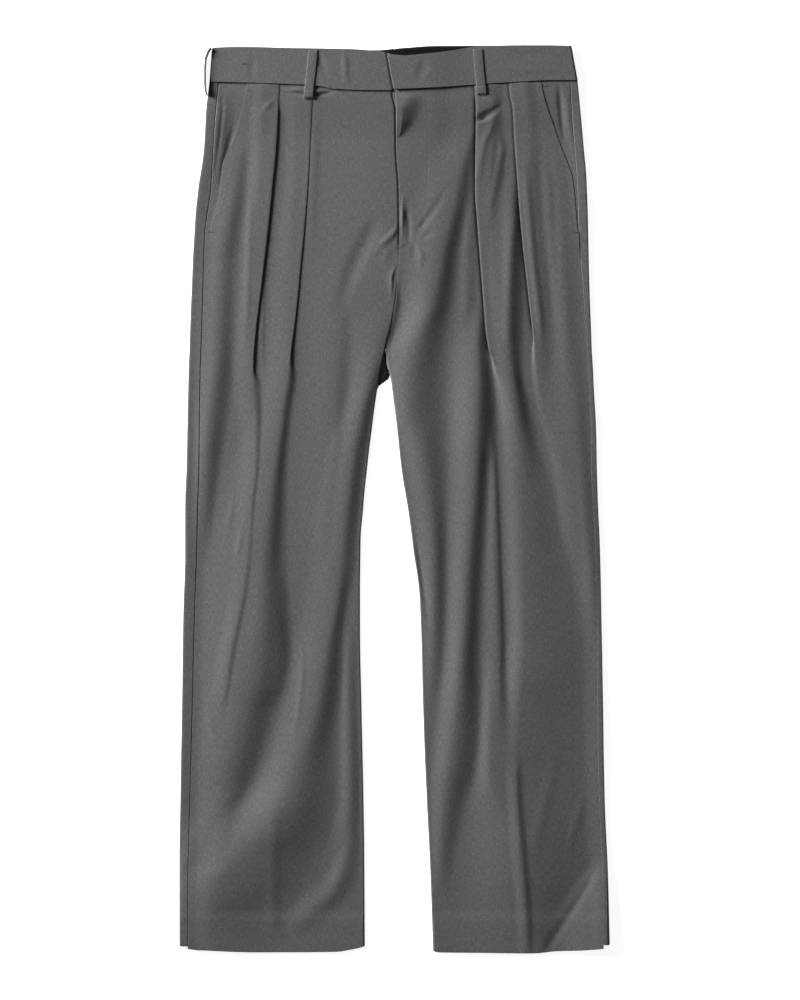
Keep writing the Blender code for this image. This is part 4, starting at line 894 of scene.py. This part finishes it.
def back_row(leg, row):
    """One row of a back: along the floor from the centre seam or inseam, round the edge, to the side seam."""
    edge = leg.edge(row)
    start = leg.inner(row) - leg.seat(row) + SEAM_GAP / 2
    bottom = BACK_Z + BACK_WAIST_RISE * fade(row, *WAIST_HOLD)
    radius = (leg.top(edge - SOLID_CLOTH / 2 - (EDGE_Z - BACK_Z) / 2, row) - bottom) / 2
    middle = edge - SOLID_CLOTH / 2 - radius * SIDE_BEND
    angle = np.linspace(-math.pi / 2, math.pi / 2, ROLL_POINTS)
    seam = leg.seam(row) + SEAM_GAP / 2
    flat_out = spread(start, middle, BACK_COLUMNS)
    strip_out = np.append(spread(middle, seam, STRIP_COLUMNS)[1:], seam)
    out = np.concatenate([flat_out, middle + radius * SIDE_BEND * np.cos(angle), strip_out])
    rolled = bottom + radius * (1 + np.sin(angle))
    height = np.concatenate([np.full(BACK_COLUMNS, bottom), rolled, leg.top(strip_out, row)])
    return out, leg.down(row, np.full_like(out, edge)), height


def facing_row(leg, row):
    """One row of a pocket facing, from the side seam to under the pocket mouth."""
    out = np.linspace(leg.seam(row) - SEAM_GAP / 2, leg.pocket_mouth(row) - POCKET_UNDER, FACING_COLUMNS)
    down = leg.down(row, out)
    tuck = SEAM_TUCK * fade(row - WAIST_ROW, *SEAM_TUCK_DOWN)
    return out, down, leg.top(out, row) + crease_lift(leg.facing_creases, out, down) - tuck


def up_the_band(places, share):
    """Where a line stands that share of the way up the band: places are its top and its end at the seam."""
    top, seam = places
    return seam + (top - seam) * share


def band_row(leg, share):
    """One row of a waistband half, share 0 at its seam and 1 at its top: front end, fold, centre back."""
    edge = up_the_band(leg.band_edge, share)
    radius = (BAND_Z - BACK_BAND_Z) / 2
    middle = edge - BAND_CLOTH / 2 - radius
    front_out = spread(up_the_band(leg.band_end, share), middle, BAND_FRONT_COLUMNS)
    angle = np.linspace(math.pi / 2, -math.pi / 2, ROLL_POINTS)
    back_out = np.append(spread(middle, GAP / 2, BAND_BACK_COLUMNS)[1:], GAP / 2)
    out = np.concatenate([front_out, middle + radius * np.cos(angle), back_out])
    behind = np.full(ROLL_POINTS + BAND_BACK_COLUMNS, leg.waist_seam(edge))
    low = np.append(leg.waist_seam(front_out), behind)
    round_the_edge = np.full(ROLL_POINTS, leg.band_top(edge))
    high = np.concatenate([leg.band_top(front_out), round_the_edge, leg.back_band_top(back_out)])
    down = low + (high - low) * share
    if leg.side > 0:
        laps = BAND_OVERLAP_LIFT * fade(front_out, *BAND_OVERLAP_ACROSS)
    else:
        overlap = up_the_band(LEFT["band end"], share)
        laps = -BAND_DIP * bump((front_out + overlap - DIP_ASIDE) / DIP_WIDTH)
    height = np.concatenate([
        BAND_Z + laps + crease_lift(leg.band_creases, front_out, down[:BAND_FRONT_COLUMNS]),
        BACK_BAND_Z + radius * (1 + np.sin(angle)),
        np.full(BAND_BACK_COLUMNS, BACK_BAND_Z),
    ])
    return out, down, height


def panel(leg, row_of, rows):
    """The grid of points of a panel, row by row."""
    out, down, height = np.array([row_of(leg, row) for row in rows]).transpose(1, 0, 2)
    return points(leg.side * out, down, height)


def normals(grid):
    """Which way the cloth faces at each point."""
    found = np.cross(np.gradient(grid, axis=1), np.gradient(grid, axis=0))
    return found / np.maximum(np.linalg.norm(found, axis=2, keepdims=True), TINY)


def lengths(grid, axis):
    """How far each point is from the grid's first row or column, along the cloth."""
    steps = np.linalg.norm(np.diff(grid, axis=axis), axis=2)
    return np.insert(np.cumsum(steps, axis=axis), 0, 0, axis=axis)


def turned_under(grid, inward, depth, bend):
    """Cloth whose last rows are turned back under it, round a small bend: inward is the normals' sign."""
    normal = normals(grid) * inward
    onward = grid[-1] - grid[-2]
    onward = onward / np.linalg.norm(onward, axis=1, keepdims=True)
    turn = []
    for angle in np.linspace(0, math.pi, TURN_POINTS)[1:]:
        turn.append(grid[-1] + onward * bend * math.sin(angle) + normal[-1] * bend * (1 - math.cos(angle)))
    below = (lengths(grid, 0)[-1] - lengths(grid, 0)).mean(axis=1)
    hidden = [row for row in range(len(grid) - 2, 0, -1) if below[row] < depth]
    return np.concatenate([grid, turn, [grid[row] + normal[row] * 2 * bend for row in hidden]])


def thickness_over(grid, thickness, rounding):
    """The cloth's thickness at each point, less within the rounding of its edges."""
    across, along = lengths(grid, 1), lengths(grid, 0)
    inside = np.minimum.reduce([across, across[:, -1:] - across, along, along[-1:] - along])
    share = 1 - np.clip(inside / rounding, 0, 1)
    return thickness * (RIM + (1 - RIM) * np.sqrt(1 - share ** 2))


def add_mesh(name, corners, faces, finish, threads=None):
    """A mesh object from points in millimetres, its faces turned out."""
    mesh = bpy.data.meshes.new(name)
    mesh.from_pydata((corners * MM).tolist(), [], faces)
    if threads is not None:
        layer = mesh.uv_layers.new(name="threads")
        corner_of = np.empty(len(mesh.loops), dtype=np.int32)
        mesh.loops.foreach_get("vertex_index", corner_of)
        layer.data.foreach_set("uv", (threads[corner_of] * MM).ravel())
    shape = bmesh.new()
    shape.from_mesh(mesh)
    bmesh.ops.recalc_face_normals(shape, faces=shape.faces)
    shape.to_mesh(mesh)
    shape.free()
    mesh.materials.append(finish)
    mesh.shade_smooth()
    made = bpy.data.objects.new(name, mesh)
    bpy.context.scene.collection.objects.link(made)
    return made


def shell(name, grid, thickness, finish, rounding=ROUNDING):
    """Cloth along the grid's middle surface, with rounded edges and its threads along the grid."""
    count, width = grid.shape[:2]
    offset = normals(grid) * thickness_over(grid, thickness, rounding)[..., None] / 2
    corners = np.concatenate([(grid + offset).reshape(-1, 3), (grid - offset).reshape(-1, 3)])
    down_the_cloth = lengths(grid, 0).mean(axis=1, keepdims=True)
    threads = np.stack(np.broadcast_arrays(lengths(grid, 1), down_the_cloth), axis=-1).reshape(-1, 2)
    index = np.arange(count * width).reshape(count, width)
    upper = np.stack([index[:-1, :-1], index[:-1, 1:], index[1:, 1:], index[1:, :-1]], axis=-1).reshape(-1, 4)
    rim = np.concatenate([index[0, :-1], index[:-1, -1], index[-1, :0:-1], index[:0:-1, 0]])
    after = np.roll(rim, -1)
    edge = np.stack([rim, after, after + count * width, rim + count * width], axis=-1)
    faces = np.concatenate([upper, (upper + count * width)[:, ::-1], edge]).tolist()
    made = add_mesh(name, corners, faces, finish, np.concatenate([threads, threads]))
    for face in made.data.polygons[-len(edge):]:
        face.use_smooth = False
    return made


def trace(places, count):
    """A smooth line through the places, with evenly spread points."""
    places = np.array(places, float)
    along = np.insert(np.cumsum(np.linalg.norm(np.diff(places, axis=0), axis=1)), 0, 0)
    at = np.linspace(0, along[-1], count)
    return np.stack([curve(along, column)(at) for column in places.T], axis=-1)


class Cloth:
    """What lies under a point, to lay sewing on."""

    def __init__(self, pieces):
        corners, faces = [], []
        for piece in pieces:
            first = len(corners)
            corners += [corner.co for corner in piece.data.vertices]
            faces += [[first + corner for corner in face.vertices] for face in piece.data.polygons]
        self.tree = BVHTree.FromPolygons(corners, faces)

    def below(self, x, y):
        """The highest point there, in millimetres, and the way the cloth faces."""
        above = Vector((x * MM, y * MM, RAY_HEIGHT * MM))
        found, normal, _, _ = self.tree.ray_cast(above, Vector((0, 0, -1)))
        return np.array(found) / MM, np.array(normal)


def thread_stitch(start, end, normal, width):
    """Corners and faces of one stitch: a grain of thread from start to end."""
    along = end - start
    side = np.cross(along, normal)
    side = side / np.linalg.norm(side)
    corners = [start]
    for share, size in STITCH_RINGS:
        for turn in np.arange(STITCH_SIDES) * 2 * math.pi / STITCH_SIDES:
            swell = (side * math.cos(turn) + normal * math.sin(turn)) * width / 2 * size
            corners.append(start + along * share + swell)
    corners.append(end)
    last = len(corners) - 1
    faces = []
    for here in range(STITCH_SIDES):
        after = (here + 1) % STITCH_SIDES
        faces.append((0, 1 + here, 1 + after))
        faces.append((last, last - STITCH_SIDES + after, last - STITCH_SIDES + here))
        for ring in (1, 1 + STITCH_SIDES):
            faces.append((ring + here, ring + STITCH_SIDES + here, ring + STITCH_SIDES + after, ring + after))
    return corners, faces


def sewn(name, stitches, cloth, finish):
    """Stitches laid on a cloth, each from one place to another, as one mesh."""
    corners, faces = [], []
    for start, end in stitches:
        low, normal = cloth.below(*start)
        high, _ = cloth.below(*end)
        added, ring = thread_stitch(low, high, normal, STITCH_WIDTH)
        faces += [tuple(corner + len(corners) for corner in face) for face in ring]
        corners += added
    return add_mesh(name, np.array(corners), faces, finish)


def in_model(places):
    """Places given as x, down, in the model's frame."""
    return points(*np.array(places, float).T, 0)[:, :2]


def stitched_line(name, places, cloth, finish):
    """A row of stitches along a path."""
    rough = np.linalg.norm(np.diff(np.array(places, float), axis=0), axis=1).sum()
    line = in_model(trace(places, int(rough / STITCH_PITCH) + 1))
    share = STITCH_LENGTH / STITCH_PITCH
    stitches = [(here, here + (after - here) * share) for here, after in zip(line[:-1], line[1:])]
    return sewn(name, stitches, cloth, finish)


def bar_tack(name, ends, width, cloth, finish):
    """A short dense bar of stitches across its middle line."""
    start, end = in_model(ends)
    along = end - start
    across = np.array([-along[1], along[0]]) / np.linalg.norm(along) * width / 2
    count = int(np.linalg.norm(along) / TACK_PITCH)
    middle = [start + along * here / count for here in range(count + 1)]
    return sewn(name, [(place - across, place + across) for place in middle], cloth, finish)


class Finish:
    """A new material, and short calls for its nodes."""

    def __init__(self, name, colour, roughness):
        self.made = bpy.data.materials.new(name)
        self.made.use_nodes = True
        self.tree = self.made.node_tree
        self.look({"Base Color": (*colour, 1), "Roughness": roughness})

    def fill(self, node, inputs):
        """Links an input to another node's output, or sets it."""
        for socket, value in inputs.items():
            if isinstance(value, bpy.types.NodeSocket):
                self.tree.links.new(value, node.inputs[socket])
            else:
                node.inputs[socket].default_value = value

    def look(self, inputs):
        """Links or sets what the surface takes."""
        self.fill(self.tree.nodes["Principled BSDF"], inputs)

    def add(self, kind, inputs, **settings):
        node = self.tree.nodes.new(kind)
        for name, value in settings.items():
            setattr(node, name, value)
        self.fill(node, inputs)
        return node

    def threads(self):
        """Metres across and along the cloth's own threads."""
        return self.add("ShaderNodeUVMap", {}, uv_map="threads").outputs["UV"]

    def apart(self, vector):
        """The vector's first and second part."""
        return self.add("ShaderNodeSeparateXYZ", {0: vector}).outputs[:2]

    def math(self, operation, first, second=0.0):
        return self.add("ShaderNodeMath", {0: first, 1: second}, operation=operation).outputs[0]

    def scaled(self, vector, scale):
        return self.add("ShaderNodeVectorMath", {0: vector, 1: scale}, operation="MULTIPLY").outputs[0]

    def ramp(self, value, low, high, start=0.0, end=1.0):
        """The value's stretch from low to high, as start to end, held outside it."""
        inputs = {"Value": value, "From Min": low, "From Max": high, "To Min": start, "To Max": end}
        return self.add("ShaderNodeMapRange", inputs).outputs["Result"]

    def noise(self, vector, scale, detail):
        inputs = {"Vector": vector, "Scale": scale, "Detail": detail}
        return self.add("ShaderNodeTexNoise", inputs).outputs["Fac"]

    def mix(self, share, first, second):
        """The first colour, and more of the second one the greater the share."""
        return self.add("ShaderNodeMix", {0: share, 6: first, 7: second}, data_type="RGBA").outputs[2]

    def relief(self, height, strength, depth):
        """Lets the surface look raised where the height is greater."""
        inputs = {"Height": height, "Strength": strength, "Distance": depth * MM}
        self.look({"Normal": self.add("ShaderNodeBump", inputs).outputs["Normal"]})

    def clouded(self, colour, darker, scale, detail):
        """Lets the colour drift to a darker one and back."""
        place = self.add("ShaderNodeTexCoord", {}).outputs["Object"]
        low = (*(darker * part for part in colour), 1)
        self.look({"Base Color": self.mix(self.noise(place, scale, detail), low, (*colour, 1))})


def worsted():
    """Mid-grey worsted: a fine twill of mixed dark and light fibres, with a few pale ends."""
    wool = Finish("worsted wool", WOOL, WOOL_ROUGHNESS)
    threads = wool.threads()
    across, along = wool.apart(threads)
    slanted = wool.math("ADD", across, wool.math("MULTIPLY", along, TWILL_SLANT))
    twill = wool.math("SINE", wool.math("MULTIPLY", slanted, 2 * math.pi / (TWILL_PITCH * MM)))
    warp = wool.noise(wool.scaled(threads, WARP), 1.0, FIBRE_DETAIL)
    weft = wool.noise(wool.scaled(threads, WEFT), 1.0, FIBRE_DETAIL)
    fibres = wool.math("ADD", warp, wool.math("MULTIPLY", weft, WEFT_SHARE))
    colour = wool.mix(wool.ramp(fibres, *HEATHER), (*WOOL_DARK, 1), (*WOOL_LIGHT, 1))
    for cell, radius, share in PALE_ENDS:
        cells = wool.scaled(threads, (1 / (cell * MM), 1 / (cell * MM), 1))
        inputs = {"Vector": cells, "Scale": 1.0, "Randomness": 1.0}
        spots = wool.add("ShaderNodeTexVoronoi", inputs, voronoi_dimensions="2D").outputs["Distance"]
        shown = wool.ramp(spots, radius / cell, radius / cell * PALE_CORE, 0.0, share)
        colour = wool.mix(shown, colour, (*PALE_END, 1))
    wool.look({
        "Base Color": colour,
        "Specular IOR Level": WOOL_SHINE,
        "Sheen Weight": WOOL_SHEEN,
        "Sheen Roughness": WOOL_SHEEN_ROUGHNESS,
    })
    wool.relief(wool.math("ADD", wool.math("MULTIPLY", twill, TWILL_RELIEF), fibres), *WOOL_BUMP)
    return wool.made


def lining_and_shade_cloth():
    """The dark lining behind the waistband, finely ribbed; its near-black colour is partly painted shade, the
    shade inside the back of the band.
    """
    lining = Finish("lining", LINING_AND_SHADE, 1)
    lining.look({"Specular IOR Level": LINING_SHINE})
    across, _ = lining.apart(lining.threads())
    rib = lining.math("SINE", lining.math("MULTIPLY", across, 2 * math.pi / (LINING_RIB * MM)))
    lining.relief(rib, *LINING_BUMP)
    return lining.made


def sewing_thread(name, colour):
    """Spun thread: short fibres make its colour uneven."""
    thread = Finish(name, colour, THREAD_ROUGHNESS)
    thread.clouded(colour, THREAD_DARKER, THREAD_CLOUDS, FIBRE_DETAIL)
    return thread.made


def floor_paint():
    """A plain pale floor that glows with painted light, so that shadows on it stay faint."""
    paint = Finish("floor", FLOOR, FLOOR_ROUGHNESS)
    paint.clouded(FLOOR, FLOOR_DARKER, FLOOR_CLOUDS, FLOOR_DETAIL)
    paint.look({"Emission Color": (1, 1, 1, 1), "Emission Strength": FLOOR_PAINTED_LIGHT})
    return paint.made


def belt_loop(name, places, finish):
    """A belt loop lying along the cloth, its lower end turned under: places are x, down, height."""
    x, down, height = trace(places, LOOP_ROWS).T[..., None]
    share = np.linspace(-0.5, 0.5, LOOP_COLUMNS)
    crown = LOOP_CROWN * (1 - (2 * share) ** 2)
    grid = points(x + share * LOOP_WIDTH, down, height + crown)
    grid = turned_under(grid, LOOP_INWARD, LOOP_TURN_UNDER, LOOP_BEND)
    return shell(name, grid, LOOP_CLOTH, finish)


def standing_loop(name, places, finish):
    """The belt loop that stands away from the band's side fold: places are x, down of its middle line."""
    x, down = trace(places, LOOP_ROWS).T[..., None]
    height = SIDE_LOOP_HEIGHT + np.linspace(-0.5, 0.5, LOOP_COLUMNS) * STANDING_LOOP_WIDTH
    return shell(name, points(x, down, height), STANDING_LOOP_CLOTH, finish)


def band_facing_grid(right, left):
    """The lining inside the back of the waistband, from the right half to the left one."""
    x = np.linspace(*BAND_FACING_ENDS, BAND_FACING_COLUMNS)
    top = np.where(x < 0, right.back_band_top(-x), left.back_band_top(x))
    return points(x, top + np.linspace(*BAND_FACING_DOWN, BAND_FACING_ROWS)[:, None], FACING_Z)


def dress(piece, node):
    """The piece stands for its node and rides with it."""
    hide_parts(node)
    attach(piece, "root")
    width, length, area, rests_on = CUTS[node]
    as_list(rests_on)


def leg_panels(leg):
    """Each panel of one side: its name, its grid of points, its thickness and its edges' rounding."""
    for name, row_of, stretches in (("front", front_row, FRONT_ROWS), ("back", back_row, BACK_ROWS)):
        grid = panel(leg, row_of, rows_down(stretches))
        yield name, turned_under(grid, -leg.side, HEM_DEPTH, HEM_BEND), CLOTH, ROUNDING
    yield "pocket_facing", panel(leg, facing_row, rows_down(FACING_ROWS)), CLOTH, ROUNDING
    shares = (1 - np.cos(np.linspace(0, math.pi, BAND_ROWS))) / 2
    yield "waistband", panel(leg, band_row, shares), BAND_CLOTH, BAND_ROUNDING


def make_panels(right, left, wool):
    """Fronts, backs, pocket facings and waistband halves."""
    made = {}
    for side, leg in (("right", right), ("left", left)):
        for name, grid, thickness, rounding in leg_panels(leg):
            made[f"{name}_{side}"] = shell(f"cloth_{name}_{side}", grid, thickness, wool, rounding)
    return made


def make_loops(wool):
    """The belt loops: two on the front, two hidden under the band and one standing at the right side."""
    lying = dict(FRONT_LOOPS)
    for node, x in HIDDEN_LOOPS.items():
        lying[node] = [(x, down, LOOP_CLOTH / 2) for down in HIDDEN_LOOP_ENDS]
    made = {node: belt_loop(f"cloth_{node}", places, wool) for node, places in lying.items()}
    made["belt_loop_side_right"] = standing_loop("cloth_belt_loop_side_right", SIDE_LOOP, wool)
    return made


def make_sewing(pieces):
    """Topstitching and bar tacks, each riding with the cloth that it is sewn on; the near-black tacks at the
    loops' ends are painted shade.
    """
    # the dark thread's near-black colour is painted shade at the loops' ends
    grey, dark = sewing_thread("grey thread", GREY_THREAD), sewing_thread("dark thread and painted shade", DARK_THREAD_AND_SHADE)
    cloth = Cloth(pieces.values())
    sewing = [stitched_line(name, places, cloth, grey) for name, places in SEWN_LINES.items()]
    for tacks, finish in ((BAR_TACKS, grey), (DARK_TACKS_AND_SHADE, dark)):
        for name, (start, end, width) in tacks.items():
            sewing.append(bar_tack(name, (start, end), width, cloth, finish))
    for piece in sewing:
        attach(piece, "root")


def make_camera():
    """Straight above the trousers, framed as the photograph is."""
    data = bpy.data.cameras.new("camera")
    data.lens = data.sensor_width * CAMERA_HEIGHT / FRAME_HEIGHT
    camera = bpy.data.objects.new("camera", data)
    camera.location = (FRAME_CENTRE[0] * MM, FRAME_CENTRE[1] * MM, CAMERA_HEIGHT * MM)
    bpy.context.scene.collection.objects.link(camera)
    bpy.context.scene.camera = camera


def make_light():
    """A broad soft light, low at the viewer's upper left, and a pale world all round."""
    data = bpy.data.lights.new("key", "AREA")
    data.shape = "DISK"
    data.size = KEY_SIZE * MM
    data.energy = KEY_POWER
    key = bpy.data.objects.new("key", data)
    turn = Euler((0, math.radians(90 - KEY_ELEVATION), math.radians(KEY_AZIMUTH)))
    key.rotation_euler = turn
    key.location = turn.to_matrix() @ Vector((0, 0, KEY_DISTANCE * MM))
    bpy.context.scene.collection.objects.link(key)
    world = bpy.data.worlds.new("world")
    world.use_nodes = True
    background = world.node_tree.nodes["Background"].inputs
    background["Color"].default_value = (1, 1, 1, 1)
    background["Strength"].default_value = FILL_STRENGTH
    bpy.context.scene.world = world
    bpy.context.scene.view_settings.view_transform = "Standard"


def make_floor():
    """The floor that the trousers lie on."""
    half = FLOOR_SIZE / 2
    corners = np.array([(-half, -half, 0), (half, -half, 0), (half, half, 0), (-half, half, 0)])
    floor = add_mesh("floor", corners, [(0, 1, 2, 3)], floor_paint())


def main():
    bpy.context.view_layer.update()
    right, left = Leg(RIGHT), Leg(LEFT)
    wool = worsted()
    pieces = make_panels(right, left, wool)
    lining = band_facing_grid(right, left)
    pieces["waistband_facing"] = shell("cloth_waistband_facing", lining, CLOTH, lining_and_shade_cloth())
    pieces.update(make_loops(wool))
    for node, piece in pieces.items():
        dress(piece, node)
    make_sewing(pieces)
    make_floor()
    make_camera()
    make_light()


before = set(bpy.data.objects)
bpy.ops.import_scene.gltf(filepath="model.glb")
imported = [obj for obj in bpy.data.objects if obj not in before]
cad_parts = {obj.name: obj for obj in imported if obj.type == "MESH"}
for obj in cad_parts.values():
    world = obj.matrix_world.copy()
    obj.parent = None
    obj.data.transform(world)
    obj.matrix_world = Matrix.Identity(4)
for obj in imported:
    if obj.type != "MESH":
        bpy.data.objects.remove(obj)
LOOP_LOW, LOOP_HIGH = (np.array(corner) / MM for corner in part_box("belt_loop_back"))
# Where x, down of 0, 0 lies in the frame: the back loop is at x 0, and its top end is where the table says
ORIGIN = ((LOOP_LOW[0] + LOOP_HIGH[0]) / 2, LOOP_HIGH[1] + HIDDEN_LOOP_ENDS[0])
main()
